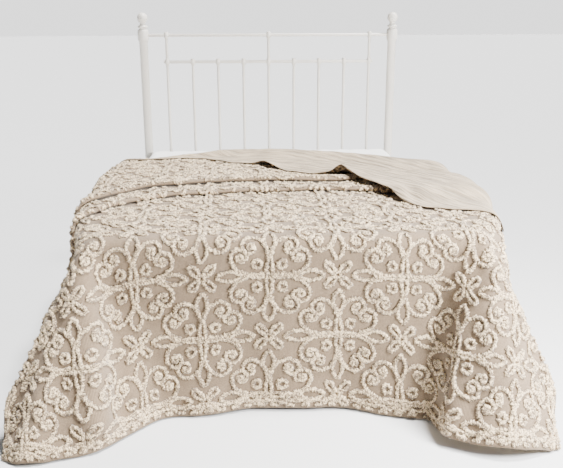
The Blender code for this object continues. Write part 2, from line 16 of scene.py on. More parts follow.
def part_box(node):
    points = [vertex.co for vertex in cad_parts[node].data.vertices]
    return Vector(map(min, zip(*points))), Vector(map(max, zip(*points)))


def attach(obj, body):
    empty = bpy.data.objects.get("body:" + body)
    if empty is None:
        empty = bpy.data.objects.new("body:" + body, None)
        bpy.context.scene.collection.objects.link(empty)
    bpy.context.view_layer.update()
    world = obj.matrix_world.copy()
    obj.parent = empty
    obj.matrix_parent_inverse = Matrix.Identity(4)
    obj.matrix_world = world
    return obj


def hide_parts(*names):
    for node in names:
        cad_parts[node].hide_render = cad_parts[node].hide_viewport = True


bl_info = {
    "name": "Chenille bedspread on a bed",
    "version": (1, 0, 0),
    "blender": (4, 5, 0),
    "location": "View3D > Sidebar > Bedspread",
    "description": "Builds a tufted chenille bedspread, its bed, headboard and studio",
    "category": "Object",
}

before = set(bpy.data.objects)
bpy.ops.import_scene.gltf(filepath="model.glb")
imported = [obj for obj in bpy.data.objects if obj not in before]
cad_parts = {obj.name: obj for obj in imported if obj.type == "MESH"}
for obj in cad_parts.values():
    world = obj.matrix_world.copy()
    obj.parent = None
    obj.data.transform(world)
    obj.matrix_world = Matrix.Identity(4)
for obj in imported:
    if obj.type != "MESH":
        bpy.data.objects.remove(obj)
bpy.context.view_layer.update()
MATTRESS_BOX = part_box("mattress")
BASE_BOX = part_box("bed_base")
BED_X = (MATTRESS_BOX[0][0] + MATTRESS_BOX[1][0]) / 2
BED_Y = (MATTRESS_BOX[0][1] + MATTRESS_BOX[1][1]) / 2
BED_PLACE = np.array([BED_X, BED_Y, 0.0])
MATTRESS_LENGTH = MATTRESS_BOX[1][1] - MATTRESS_BOX[0][1]
MATTRESS_TOP = MATTRESS_BOX[1][2]

# Bedspread, cut size and lie
SPREAD_WIDTH = 2.59
SPREAD_LENGTH = 3.00
CLOTH_HALF_WIDTH = 0.777
CLOTH_FOOT_Y = -MATTRESS_LENGTH / 2 - 0.015
CLOTH_TOP_Z = MATTRESS_TOP + 0.0055
FOOT_DROP = 0.710
FOOT_FLARE = 0.032
FLOOR_CLEAR = 0.005
EDGE_SOFTNESS = 0.040
TAUT_STEP = 0.005
TAUT_MARGIN = 0.10
FOOT_WAVE = 0.010
FOOT_WAVE_LENGTH = 0.37
SIDE_WAVE = 0.022
SIDE_WAVE_LENGTH = 0.52

# Fan of cloth at a foot corner. The fan angle runs round the mattress corner in the flat cloth:
# 0 along the foot edge, 90 down the foot drop, 180 down the side drop, 270 along the side edge.
# Each thread hangs at a lean from straight down, turned by the turn angle (0 toward the middle
# of the foot edge, 90 away from the foot, 180 away from the side, 270 toward the head).
FAN_COLUMNS = ("fan", "lean", "turn", "ease")
LEFT_FAN = (
    (0, 90, 0, 1.00),
    (55, 35, 0, 1.00),
    (70, 21, 10, 1.02),
    (81, 17, 40, 1.04),
    (91, 20.5, 72, 1.07),
    (106, 24.5, 104, 1.07),
    (118, 29.5, 121, 1.01),
    (127, 28.5, 134, 0.97),
    (144, 31, 147, 0.99),
    (164, 17, 143, 1.00),
    (178, 11, 200, 1.00),
    (194, 26, 212, 1.00),
    (210, 31, 243, 1.00),
    (231, 51, 270, 1.00),
    (270, 90, 270, 1.00),
)
RIGHT_FAN = (
    (0, 90, 0, 1.00),
    (52, 38, 0, 1.00),
    (63, 28, 8, 1.02),
    (71, 21, 22, 1.04),
    (80, 22, 47, 1.06),
    (91, 28, 67, 1.09),
    (108, 31, 93, 1.05),
    (127, 28.5, 122, 0.96),
    (136, 27.5, 130, 0.98),
    (144, 29.5, 139, 1.00),
    (164, 17, 142, 1.00),
    (178, 11, 195, 1.00),
    (194, 26, 212, 1.00),
    (210, 31, 243, 1.00),
    (231, 51, 270, 1.00),
    (270, 90, 270, 1.00),
)

# How far the loose cloth stands out past each mattress side, along the bed
SWELL_COLUMNS = ("y", "left", "right")
SWELL = (
    (-1.03, 0.000, 0.000),
    (-0.95, 0.030, 0.025),
    (-0.84, 0.068, 0.095),
    (-0.70, 0.090, 0.140),
    (-0.40, 0.102, 0.160),
    (-0.05, 0.148, 0.165),
    (0.24, 0.162, 0.155),
    (0.50, 0.135, 0.120),
    (0.72, 0.075, 0.065),
    (1.30, 0.020, 0.020),
)

# Lines across the bed: front lip of each tuck, the crest where the head end turns back, and the
# size of the roll there
LINE_COLUMNS = ("s", "first_lip", "second_lip", "crest", "roll")
LINES = (
    (-1.295, -0.80, -0.58, 0.60, 0.35),
    (-0.950, -0.76, -0.55, 0.60, 0.35),
    (-0.820, -0.67, -0.45, 0.61, 0.35),
    (-0.745, -0.54, -0.35, 0.61, 0.35),
    (-0.640, -0.44, -0.24, 0.64, 0.38),
    (-0.490, -0.35, -0.18, 0.68, 0.65),
    (-0.320, -0.31, -0.14, 0.74, 0.95),
    (-0.150, -0.29, -0.12, 0.770, 1.00),
    (0.000, -0.28, -0.115, 0.770, 1.00),
    (0.290, -0.28, -0.130, 0.68, 1.00),
    (0.560, -0.34, -0.100, 0.54, 1.00),
    (0.720, -0.38, -0.100, 0.43, 1.00),
    (0.900, -0.41, -0.110, 0.33, 1.00),
    (1.295, -0.43, -0.120, 0.22, 1.00),
)

# Hem of the turned-back head end, seen from above: where each thread ends
HEM_COLUMNS = ("s", "x", "y")
TURNED_HEM = (
    (-1.295, -1.295, 0.570),
    (-0.900, -0.900, 0.573),
    (-0.750, -0.750, 0.580),
    (-0.600, -0.590, 0.605),
    (-0.400, -0.400, 0.575),
    (-0.200, -0.235, 0.455),
    (0.000, -0.085, 0.385),
    (0.150, 0.060, 0.205),
    (0.300, 0.170, 0.125),
    (0.470, 0.300, 0.045),
    (0.570, 0.380, -0.147),
    (0.680, 0.467, -0.334),
    (0.780, 0.540, -0.490),
    (0.880, 0.610, -0.625),
    (0.990, 0.705, -0.675),
    (1.100, 0.800, -0.700),
    (1.200, 0.885, -0.735),
    (1.295, 0.965, -0.770),
)

# Section of one tuck, thread by thread: the line it is measured from (its front lip or its inner
# turn), the distance past that line toward the head, and the lift off the bed
TUCK_SECTION = (
    ("lip", -0.060, 0.0000),
    ("turn", -0.012, 0.0000),
    ("turn", -0.004, 0.0050),
    ("turn", -0.012, 0.0100),
    ("lip", 0.022, 0.0100),
    ("lip", 0.005, 0.0098),
    ("lip", -0.005, 0.0150),
    ("lip", 0.000, 0.0225),
    ("lip", 0.016, 0.0255),
    ("lip", 0.042, 0.0195),
)
TUCK_LEVEL = 0.0165
TUCK_SETTLE = 0.075
PAST_TURN = 0.012
LONGEST_SPAN = 0.085
LEAST_TUCK = 0.045
MOST_TUCK = 0.250
FIRST_TUCK_SHARE = 0.47

# Section of the crest where the head end turns back, at full size: distance past it, and lift
CREST_SECTION = (
    (-0.120, 0.000),
    (-0.040, 0.001),
    (-0.009, 0.008),
    (0.000, 0.020),
    (-0.011, 0.033),
    (-0.040, 0.038),
)

# The turned-back layer lies over the tucks and settles in front of them
FLAP_LOW = 0.013
FLAP_OVER_TUCKS = 0.054
FLAP_FRONT = (-0.13, -0.02)
FLAP_BACK = (0.02, 0.14)
FLAP_SAG = 0.35

# Where the turned-back hem stands up: s, height and half width
HEM_LIFTS = (
    (0.045, 0.026, 0.055),
    (0.500, 0.034, 0.070),
)

# Long soft folds of the hanging cloth. Each runs straight on the flat cloth, stands out by its
# height (a hollow where negative) and fades away over its half width. Each row holds s and v
# where it starts, s and v where it ends, its height at both ends, and its half width.
FOLDS = (
    (-0.690, -0.14, -0.690, -0.62, -0.004, -0.026, 0.050),
    (-0.790, -0.06, -0.815, -0.62, 0.012, 0.040, 0.055),
    (-0.930, -0.12, -0.960, -0.62, -0.004, -0.010, 0.050),
    (0.610, -0.18, 0.565, -0.70, -0.004, -0.026, 0.035),
    (0.700, -0.06, 0.725, -0.70, 0.006, 0.048, 0.058),
    (0.970, 0.12, 1.060, 0.34, 0.036, 0.036, 0.090),
)

# Rows of faces along a thread, as fixed stations and as shares between two lines
FOOT_STATIONS = (
    -FOOT_DROP, -0.690, -0.630, -0.560, -0.500, -0.445, -0.395, -0.345, -0.285,
    -0.210, -0.150, -0.100, -0.060, -0.025, 0.010, 0.050, 0.100,
)
FRONT_SHARES = (0.30, 0.65)
BACK_SHARES = (0.35, 0.70)
FLAP_SHARES = (0.12, 0.26, 0.40, 0.54, 0.68, 0.82, 0.93, 1.00)

# Fine cloth
SHEET_THREADS = 156
SHEET_ROW = 0.0135
CLOTH_THICK = 0.0022
TABLE_THREADS = 324
TABLE_ROW = 0.006
TABLE_STEP = 0.005

# Offset from thread to thread where all are read in one pass; more than any thread's length
THREAD_APART = 10.0

# Low swelling of the thick cloth, as waves: length, heading in degrees, phase and height
RIPPLES = (
    (0.31, 20.0, 0.4, 0.0010),
    (0.23, 100.0, 1.9, 0.0009),
    (0.17, 65.0, 4.1, 0.0008),
    (0.13, 150.0, 2.7, 0.0007),
    (0.095, 5.0, 5.3, 0.0005),
)

# Tufted lines
LINE_LIFT = 0.0005
TUFT_FLOOR = 0.0006
HEM_MARGIN = 0.011
FLAP_EDGE = 0.075

# Folded away is cloth this near a tuck's lines, up to this far over its level, or this far inside
FOLD_MARGIN = 0.004
FOLD_LIFT = 0.007
FOLD_TOUCH = 0.003

# Section of a tufted line, sideways and up, as shares of its half width and its height
LINE_SECTION = (
    (-1.00, 0.00),
    (-0.74, 0.68),
    (0.00, 1.00),
    (0.74, 0.68),
    (1.00, 0.00),
)

# Unevenness of the tufts: the beat from ring to ring and the chance spread, as shares of a line's
# width and height, then sideways sway and the spread of single points in metres
WIDTH_BEAT = 0.16
WIDTH_SPREAD = 0.26
HEIGHT_BEAT = 0.18
HEIGHT_SPREAD = 0.30
TUFT_SWAY = 0.0026
OUT_SPREAD = 0.0018
RISE_SPREAD = 0.0016
END_SHARE = 0.55
LONGEST_LINK = 1.6
TUFT_SEED = 7

# One repeat of the tufting, in millimetres from the middle of its medallion. Each quarter is the
# mirror image of the next. A leaf holds its middle across and along, its half length and half
# width, and whether it points lengthwise. A stem passes through the middle.
CHART_ACROSS = 523.0
CHART_ALONG = 500.0
LEAVES = (
    (0.0, 141.0, 48.0, 22.0, True),
    (156.0, 0.0, 51.0, 20.0, False),
)
STEMS = (
    (94.0, 13.0, True),
    (108.0, 7.5, False),
)
RING_CENTRE = (49.0, 46.0)
RING_RADIUS = 16.0
CURL_CENTRE = (72.0, 115.0)
CURL_START = 27.0
CURL_COLUMNS = ("turned", "radius")
CURL = (
    (0.0, 70.0),
    (35.0, 51.0),
    (74.0, 39.5),
    (125.0, 36.0),
    (190.0, 35.0),
    (245.0, 32.5),
    (290.0, 27.0),
    (335.0, 18.0),
    (385.0, 13.0),
    (450.0, 12.0),
    (560.0, 11.0),
    (700.0, 8.0),
    (900.0, 3.0),
)
PETAL_LENGTH = 62.0
PETAL_HALF_WIDTH = 14.0
PETAL_START = 6.0
PETAL_ROUNDNESS = 0.6
LEAF_POINTS = 24
STEM_POINTS = 40
RING_POINTS = 25
CURL_POINTS = 140
PETAL_POINTS = 60

# Field that the repeats fill, a little past the cloth: metres to each side of its middle line, and
# half repeats from the first medallion toward the foot
CHART_REACH = 1.5
CELLS_BEFORE = 4

# Border lines, in metres: their distances from the hem and the waves along them
BORDER_ROWS = (0.013, 0.033)
BORDER_WAVE = 0.0035
BORDER_WAVE_LENGTH = 0.055
BORDER_SIDE_POINTS = 1200
BORDER_FOOT_POINTS = 1000

# Pieces of the tufting, and how far from the middle line the left and right ones start
AREAS = ("border", "foot", "left", "right", "top")
SIDE_START = 0.5

# Mattress and base
BOX_ROUND = 0.052
BOX_SPACING = 0.020
BOX_ARC_STEPS = 6
BASE_ROUND = 0.014
BASE_SPACING = 0.040
BASE_ARC_STEPS = 4
QUILT_STEP = 0.115
QUILT_DEPTH = 0.0035
QUILT_STITCH = 0.012
QUILT_EDGE = 0.010
PIPING_RADIUS = 0.0042
PIPING_DROP = 0.040
BASE_PIPING_RADIUS = 0.7 * PIPING_RADIUS
BASE_PIPING_DROP = 0.012
PIPING_AROUND = 160
PIPING_SIDES = 10

# Headboard
BOARD_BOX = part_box("head_top_rail")
BOARD_Y = (BOARD_BOX[0][1] + BOARD_BOX[1][1]) / 2
TOP_RAIL_Z = 1.426
SECOND_RAIL_Z = 1.264
LOW_RAIL_Z = 0.560
POST_HALF_SPACING = 0.778
POST_RADIUS = 0.0260
COLLAR_RADIUS = 0.0340
RAIL_RADIUS = 0.0095
SPINDLE_RADIUS = 0.0085
SPINDLE_STEP = 0.159
SPINDLES_EACH_SIDE = 4
RAIL_OVERHANG = 0.022
TUBE_GAP = 0.0003
TURNED_STEPS = 28
POST_STEPS = 40

# Turned outlines, from the bottom up: height and radius
POST_PROFILE = (
    (0.000, 0.0010),
    (0.000, 0.0210),
    (0.002, 0.0235),
    (0.012, POST_RADIUS),
    (1.386, POST_RADIUS),
    (1.390, 0.0290),
    (1.396, 0.0318),
    (1.404, 0.0334),
    (1.426, COLLAR_RADIUS),
    (1.448, 0.0334),
    (1.456, 0.0316),
    (1.461, 0.0270),
    (1.465, 0.0210),
    (1.469, 0.0225),
    (1.472, 0.0290),
    (1.477, 0.0312),
    (1.482, 0.0290),
    (1.486, 0.0215),
    (1.492, 0.0165),
    (1.499, 0.0160),
    (1.503, 0.0190),
    (1.508, 0.0247),
    (1.515, 0.0290),
    (1.523, 0.0315),
    (1.530, 0.0320),
    (1.538, 0.0311),
    (1.546, 0.0280),
    (1.553, 0.0230),
    (1.559, 0.0145),
    (1.5618, 0.0050),
    (1.5620, 0.0010),
)
KNOB_PROFILE = (
    (-0.0215, 0.0082),
    (-0.0210, 0.0105),
    (-0.0165, 0.0125),
    (-0.0120, 0.0128),
    (-0.0080, 0.0145),
    (-0.0030, 0.0160),
    (0.0030, 0.0160),
    (0.0080, 0.0145),
    (0.0120, 0.0128),
    (0.0165, 0.0125),
    (0.0200, 0.0105),
    (0.0205, 0.0082),
)
KNOB_BELOW = -KNOB_PROFILE[0][0]
KNOB_ABOVE = KNOB_PROFILE[-1][0]

# Studio
CAMERA_PLACE = (-0.157, -3.766, 1.541)
CAMERA_YAW = 2.79
CAMERA_PITCH = 16.31
CAMERA_ROLL = -0.15
CAMERA_LENS = 47.70
SENSOR_WIDTH = 36.0
FLOOR_SIZE = 120.0
OVERHEAD_DIRECTION = (0.36, 0.0, 0.93)
OVERHEAD_SOFTNESS = 14.0
SIDE_LIGHT_PLACE = (2.2, -2.45, 1.7)
SIDE_LIGHT_AIM = (0.3, -1.1, 0.35)
SIDE_LIGHT_SIZE = 1.0

# Pale band of the surroundings: it comes in as a direction sinks from the first height to the
# second, and as it turns toward the head of the bed; this share of it is left elsewhere
BAND_HEIGHT = (0.35, 0.10)
BAND_HEADWARD = (0.0, 0.7)
BAND_ELSEWHERE = 0.10


def column(table, names, name):
    """One named column of a table as an array."""
    return np.array([row[names.index(name)] for row in table], dtype=float)


def smooth_through(knots, values, at):
    """Cubic curve through the rows of a table, with each row's slope taken from its neighbours."""
    slopes = np.gradient(values, knots)
    at = np.clip(at, knots[0], knots[-1])
    i = np.clip(np.searchsorted(knots, at, side="right") - 1, 0, len(knots) - 2)
    span = knots[i + 1] - knots[i]
    f = (at - knots[i]) / span
    rise = f * f * (3 - 2 * f)
    leave = f * (1 - f) ** 2 * span * slopes[i]
    arrive = f * f * (f - 1) * span * slopes[i + 1]
    return values[i] * (1 - rise) + values[i + 1] * rise + leave + arrive


def smooth_step(value, start, end):
    """0 before start, 1 after end, and an even S-curve between."""
    f = np.clip((value - start) / (end - start), 0.0, 1.0)
    return f * f * (3 - 2 * f)


def fan_point(table, past_side, past_foot):
    """Where a thread of the corner fan reaches, as offsets outward, toward the head and up.

    past_side and past_foot are the flat distances from the mattress corner. Their angle gives
    the thread's lean and turn by the table, and their length is the distance along it.
    """
    reach = np.hypot(past_side, past_foot)
    fan = np.degrees(np.arctan2(past_foot, -past_side)) % 360.0
    fan = np.where(fan > 315.0, 0.0, fan)
    knots = column(table, FAN_COLUMNS, "fan")
    lean = column(table, FAN_COLUMNS, "lean")
    turn = np.radians(column(table, FAN_COLUMNS, "turn"))
    toward_middle = smooth_through(knots, lean * np.cos(turn), fan)
    past_foot_share = smooth_through(knots, lean * np.sin(turn), fan)
    ease = smooth_through(knots, column(table, FAN_COLUMNS, "ease"), fan)
    lean_now = np.radians(np.hypot(toward_middle, past_foot_share))
    turn_now = np.arctan2(past_foot_share, toward_middle)
    reach = reach * ease
    outward = -reach * np.sin(lean_now) * np.cos(turn_now)
    headward = -reach * np.sin(lean_now) * np.sin(turn_now)
    return outward, headward, -reach * np.cos(lean_now)


def taut_form(s, v):
    """Sharp-edged form of the hanging cloth; v is the distance headward of the foot edge."""
    along = CLOTH_FOOT_Y + v
    swell_y = column(SWELL, SWELL_COLUMNS, "y")
    points = np.stack([s, along, np.full_like(s, CLOTH_TOP_Z)], axis=-1)
    for side, fan, name in ((-1, LEFT_FAN, "left"), (1, RIGHT_FAN, "right")):
        swell = smooth_through(swell_y, column(SWELL, SWELL_COLUMNS, name), along)
        swell = np.where(v > 0, swell, 0.0)
        past_side = side * s - CLOTH_HALF_WIDTH - swell
        outward, headward, up = fan_point(fan, past_side, -v)
        hanging = np.stack([
            side * (CLOTH_HALF_WIDTH + swell + outward),
            CLOTH_FOOT_Y + headward,
            CLOTH_TOP_Z + up,
        ], axis=-1)
        off_top = (side * s >= 0) & ((past_side > 0) | (v < 0))
        points = np.where(off_top[..., None], hanging, points)
    return points


def soften(points):
    """Average of the form over a small square, by running means along each direction, twice."""
    half = int(round(EDGE_SOFTNESS / TAUT_STEP))
    width = 2 * half + 1
    for axis in (0, 1, 0, 1):
        padded = np.pad(points, [(half, half) if a == axis else (0, 0) for a in range(3)], mode="edge")
        total = np.cumsum(padded, axis=axis)
        first = np.take(total, [0], axis=axis) * 0
        total = np.concatenate([first, total], axis=axis)
        count = points.shape[axis]
        high = np.take(total, np.arange(width, width + count), axis=axis)
        low = np.take(total, np.arange(count), axis=axis)
        points = (high - low) / width
    return points


def fold_height(s, v):
    """Height of all the long folds at each flat point, by its distance from each fold's line."""
    height = np.zeros_like(s)
    for from_s, from_v, to_s, to_v, from_height, to_height, half_width in FOLDS:
        run_s = to_s - from_s
        run_v = to_v - from_v
        share = ((s - from_s) * run_s + (v - from_v) * run_v) / (run_s ** 2 + run_v ** 2)
        share = np.clip(share, 0.0, 1.0)
        away = np.hypot(s - from_s - run_s * share, v - from_v - run_v * share)
        height += (from_height + (to_height - from_height) * share) * np.exp(-(away / half_width) ** 2)
    return height


def outward_directions(points):
    """Unit outward direction at every entry of a regular table of points."""
    across = np.gradient(points, TAUT_STEP, axis=0)
    lengthwise = np.gradient(points, TAUT_STEP, axis=1)
    outward = np.cross(across, lengthwise)
    return outward / np.linalg.norm(outward, axis=-1, keepdims=True)


def rolled_form():
    """Regular table of the softened form and its outward directions, waves and folds included."""
    s_line = np.arange(-SPREAD_WIDTH / 2 - TAUT_MARGIN, SPREAD_WIDTH / 2 + TAUT_MARGIN, TAUT_STEP)
    v_line = np.arange(-FOOT_DROP - TAUT_MARGIN, MATTRESS_LENGTH + TAUT_MARGIN, TAUT_STEP)
    s, v = np.meshgrid(s_line, v_line, indexing="ij")
    points = soften(taut_form(s, v))
    depth = np.clip((CLOTH_TOP_Z - points[..., 2]) / FOOT_DROP, 0.0, 1.0)
    foot_phase = np.sin(2 * np.pi * s / FOOT_WAVE_LENGTH + 0.7) + 0.4 * np.sin(5.1 * s + 2.0)
    side_phase = np.sin(2 * np.pi * v / SIDE_WAVE_LENGTH + np.sign(s)) + 0.5 * np.sin(7.3 * v)
    on_foot = smooth_step(-v, 0.0, 0.15) * (1 - smooth_step(np.abs(s), 0.55, 0.80))
    on_side = smooth_step(np.abs(s), 0.85, 1.10) * smooth_step(v, 0.05, 0.40)
    points[..., 1] -= FOOT_FLARE * depth ** 1.5 * smooth_step(-v, 0.0, 0.15)
    points[..., 1] -= FOOT_WAVE * depth * on_foot * (1 + foot_phase)
    points[..., 0] += np.sign(s) * SIDE_WAVE * depth * on_side * (1 + side_phase)
    points += outward_directions(points) * fold_height(s, v)[..., None]
    points[..., 2] = np.maximum(points[..., 2], FLOOR_CLEAR)
    return s_line[0], v_line[0], points, outward_directions(points)


def between_entries(grid, a, b):
    """Grid read at fractional places: the four entries round each, weighed by their nearness."""
    a = np.clip(a, 0, grid.shape[0] - 1.001)
    b = np.clip(b, 0, grid.shape[1] - 1.001)
    i = a.astype(int)
    j = b.astype(int)
    p = (a - i)[..., None]
    q = (b - j)[..., None]
    near = grid[i, j] * (1 - q) + grid[i, j + 1] * q
    far = grid[i + 1, j] * (1 - q) + grid[i + 1, j + 1] * q
    return near * (1 - p) + far * p


def read_form(form, s, v):
    """Point and outward direction of the form at s and v."""
    s_start, v_start, points, outward = form
    a = (s - s_start) / TAUT_STEP
    b = (v - v_start) / TAUT_STEP
    return between_entries(points, a, b), between_entries(outward, a, b)


def thread_lines(s):
    """Lines that cross each thread, as distances headward of the foot edge, and its hem end."""
    line_s = column(LINES, LINE_COLUMNS, "s")
    lines = {}
    for name in LINE_COLUMNS[1:]:
        lines[name] = smooth_through(line_s, column(LINES, LINE_COLUMNS, name), s)
    for name in ("first_lip", "second_lip", "crest"):
        lines[name] = lines[name] - CLOTH_FOOT_Y
    hem_s = column(TURNED_HEM, HEM_COLUMNS, "s")
    lines["hem_x"] = smooth_through(hem_s, column(TURNED_HEM, HEM_COLUMNS, "x"), s)
    lines["hem"] = smooth_through(hem_s, column(TURNED_HEM, HEM_COLUMNS, "y"), s) - CLOTH_FOOT_Y
    flap = np.hypot(lines["hem_x"] - s, lines["hem"] - lines["crest"])
    spare = SPREAD_LENGTH - FOOT_DROP - lines["crest"] - flap
    tucked = np.clip(spare / 2, 2 * LEAST_TUCK, MOST_TUCK)
    first = np.maximum(tucked * FIRST_TUCK_SHARE, LEAST_TUCK)
    lines["first_turn"] = lines["first_lip"] + first
    lines["second_turn"] = lines["second_lip"] + np.maximum(tucked - first, LEAST_TUCK)
    return lines


def head_end_stations(s, lines):
    """Stations over the crest and down the turned-back layer to its hem."""
    roll = lines["roll"]
    stations = [(s, lines["crest"] + ahead * roll, lift * roll) for ahead, lift in CREST_SECTION]
    last_v = stations[-1][1]
    last_lift = stations[-1][2]
    for share in FLAP_SHARES:
        side = s + (lines["hem_x"] - s) * share
        v = last_v + (lines["hem"] - last_v) * share
        front = lines["first_lip"]
        back = lines["second_turn"]
        over_tucks = smooth_step(v, front + FLAP_FRONT[0], front + FLAP_FRONT[1])
        over_tucks = over_tucks * (1 - smooth_step(v, back + FLAP_BACK[0], back + FLAP_BACK[1]))
        resting = FLAP_LOW + (FLAP_OVER_TUCKS - FLAP_LOW) * over_tucks
        lift = np.maximum(resting, last_lift * (1 - smooth_step(share, 0.0, FLAP_SAG)))
        for middle, height, half_width in HEM_LIFTS:
            lift = lift + height * np.exp(-((s - middle) / half_width) ** 2) * share ** 4
        stations.append((side, v, lift))
    return stations


def split_long_spans(stations):
    """The same stations with more between any two that stand far apart on some thread."""
    split = [stations[0]]
    for before, after in zip(stations, stations[1:]):
        count = int(np.ceil(np.abs(after[1] - before[1]).max() / LONGEST_SPAN))
        for k in range(1, count + 1):
            split.append(tuple(b + (a - b) * k / count for b, a in zip(before, after)))
    return split


def thread_stations(s):
    """Stations along each thread: sideways place, distance headward and lift off the form."""
    lines = thread_lines(s)
    stations = [(s, np.full_like(s, v), np.zeros_like(s)) for v in FOOT_STATIONS]
    start = lines["first_lip"] + TUCK_SECTION[0][1]
    for share in FRONT_SHARES:
        v = FOOT_STATIONS[-1] + (start - FOOT_STATIONS[-1]) * share
        stations.append((s, v, np.zeros_like(s)))
    tucks = []
    for number, name in enumerate(("first", "second")):
        for from_line, ahead, lift in TUCK_SECTION:
            v = lines[name + "_" + from_line] + ahead
            tucks.append((s, v, np.full_like(s, lift + number * TUCK_LEVEL)))
    settled = lines["second_turn"] + TUCK_SETTLE
    tucks.append((s, lines["second_turn"] + PAST_TURN, np.full_like(s, 2 * TUCK_LEVEL)))
    tucks.append((s, settled, np.zeros_like(s)))
    stations += split_long_spans(tucks)
    crest_start = lines["crest"] + CREST_SECTION[0][0]
    for share in BACK_SHARES:
        stations.append((s, settled + (crest_start - settled) * share, np.zeros_like(s)))
    stations += head_end_stations(s, lines)
    return [np.stack(values, axis=-1) for values in zip(*stations)]


def ripple(side, v):
    """Low uneven swelling of the thick cloth: a sum of plane waves, never below zero."""
    total = np.zeros_like(side)
    for length, direction, phase, height in RIPPLES:
        heading = math.radians(direction)
        along = side * math.cos(heading) + v * math.sin(heading)
        total += height * (1 + np.sin(2 * np.pi * along / length + phase))
    return total


def thread_rows(s, row_spacing):
    """Rows along each thread, on a curve through its stations.

    Between two stations the curve is the cubic that meets both with the slope of the parabola
    through each station and its two neighbours, measured along the thread.
    """
    stations = np.stack(thread_stations(s), axis=-1)
    span = np.maximum(np.linalg.norm(np.diff(stations, axis=1), axis=-1), 1e-6)
    rate = np.diff(stations, axis=1) / span[..., None]
    before = span[:, :-1, None]
    after = span[:, 1:, None]
    slope = (rate[:, :-1] * after + rate[:, 1:] * before) / (before + after)
    slope = np.concatenate([rate[:, :1], slope, rate[:, -1:]], axis=1)
    counts = np.maximum(np.ceil(span.mean(axis=0) / row_spacing).astype(int), 2)
    first_row = np.concatenate([[0], np.cumsum(counts)[:-1]])
    index = np.append(np.repeat(np.arange(len(counts)), counts), len(counts) - 1)
    share = np.append((np.arange(counts.sum()) - first_row[index[:-1]]) / counts[index[:-1]], 1.0)
    f = share[None, :, None]
    length = span[:, index, None]
    rise = f * f * (3 - 2 * f)
    rows = stations[:, index] * (1 - rise) + stations[:, index + 1] * rise
    rows += f * (1 - f) ** 2 * length * slope[:, index]
    rows += f * f * (f - 1) * length * slope[:, index + 1]
    return rows


def drape(form, s, row_spacing):
    """Places of the threads' rows on the bed, their length from the foot hem, and the rows."""
    rows = thread_rows(s, row_spacing)
    side, v = rows[..., 0], rows[..., 1]
    lift = np.maximum(rows[..., 2], 0.0)
    points, outward = read_form(form, side, v)
    points = points + outward * (lift + ripple(side, v))[..., None]
    steps = np.linalg.norm(np.diff(points, axis=1), axis=-1)
    reach = np.concatenate([np.zeros((len(s), 1)), np.cumsum(steps, axis=1)], axis=1)
    return points + BED_PLACE, reach, rows


def folded_away(s, rows, reach):
    """1 where a row's face lies inside a tuck or under the turned-back head end, otherwise 0."""
    v = rows[..., 1]
    lift = rows[..., 2]
    lines = thread_lines(s)
    ahead = np.gradient(v, axis=1) > 0
    row = np.arange(v.shape[1])[None, :]
    crest_row = v.argmax(axis=1)[:, None]
    hidden = np.zeros(v.shape, dtype=bool)
    for number, name in enumerate(("first", "second")):
        level = number * TUCK_LEVEL
        lip = lines[name + "_lip"][:, None]
        turn = lines[name + "_turn"][:, None]
        under = ahead & (v > lip - FOLD_MARGIN) & (v < turn + FOLD_MARGIN)
        under &= (lift < level + FOLD_LIFT) & (lift > level - FOLD_TOUCH)
        back = ~ahead & (v > lip + FOLD_TOUCH)
        hidden |= (under | back) & (row < crest_row)
    hidden |= (row > crest_row + 1) & (reach < reach[:, -1:] - FLAP_EDGE)
    return hidden.astype(float)


def cloth_table(form):
    """Regular table over the flat cloth: place, outward direction and whether it is folded away.

    Each thread's rows are read off at even lengths from the foot hem.
    """
    s = np.linspace(-SPREAD_WIDTH / 2, SPREAD_WIDTH / 2, TABLE_THREADS)
    points, reach, rows = drape(form, s, TABLE_ROW)
    hidden = folded_away(s, rows, reach)
    t = np.arange(0.0, reach.max() + TABLE_STEP, TABLE_STEP)
    offset = np.arange(TABLE_THREADS)[:, None] * THREAD_APART
    known = (reach + offset).ravel()
    asked = (np.minimum(t[None, :], reach[:, -1:]) + offset).ravel()
    layers = [points[..., 0], points[..., 1], points[..., 2], hidden]
    read = [np.interp(asked, known, layer.ravel()).reshape(TABLE_THREADS, len(t)) for layer in layers]
    grid = np.stack(read[:3], axis=-1)
    across = np.gradient(grid, axis=0)
    along = np.gradient(grid, axis=1)
    outward = np.cross(across, along)
    outward /= np.maximum(np.linalg.norm(outward, axis=-1, keepdims=True), 1e-12)
    return {"places": np.concatenate([grid, outward, read[3][..., None]], axis=-1), "ends": reach[:, -1]}


def carry(table, s, t):
    """Place, outward direction and folded-away share of the cloth at flat points."""
    thread = (s / SPREAD_WIDTH + 0.5) * (TABLE_THREADS - 1)
    return between_entries(table["places"], thread, t / TABLE_STEP)


def thread_end(table, s):
    """Length of the thread at s, foot hem to head hem."""
    line = np.linspace(-SPREAD_WIDTH / 2, SPREAD_WIDTH / 2, TABLE_THREADS)
    return np.interp(s, line, table["ends"])


def pointed_oval(centre, half_length, half_width, along_t, count):
    """Closed oval with two points: width falls with the square of the distance from its middle."""
    p = np.concatenate([np.linspace(-1, 1, count), np.linspace(1, -1, count)[1:]])
    sign = np.concatenate([np.ones(count), -np.ones(count - 1)])
    length = half_length * p
    width = sign * half_width * (1 - p * p)
    pair = (width, length) if along_t else (length, width)
    return np.stack([centre[0] + pair[0], centre[1] + pair[1]], axis=-1)


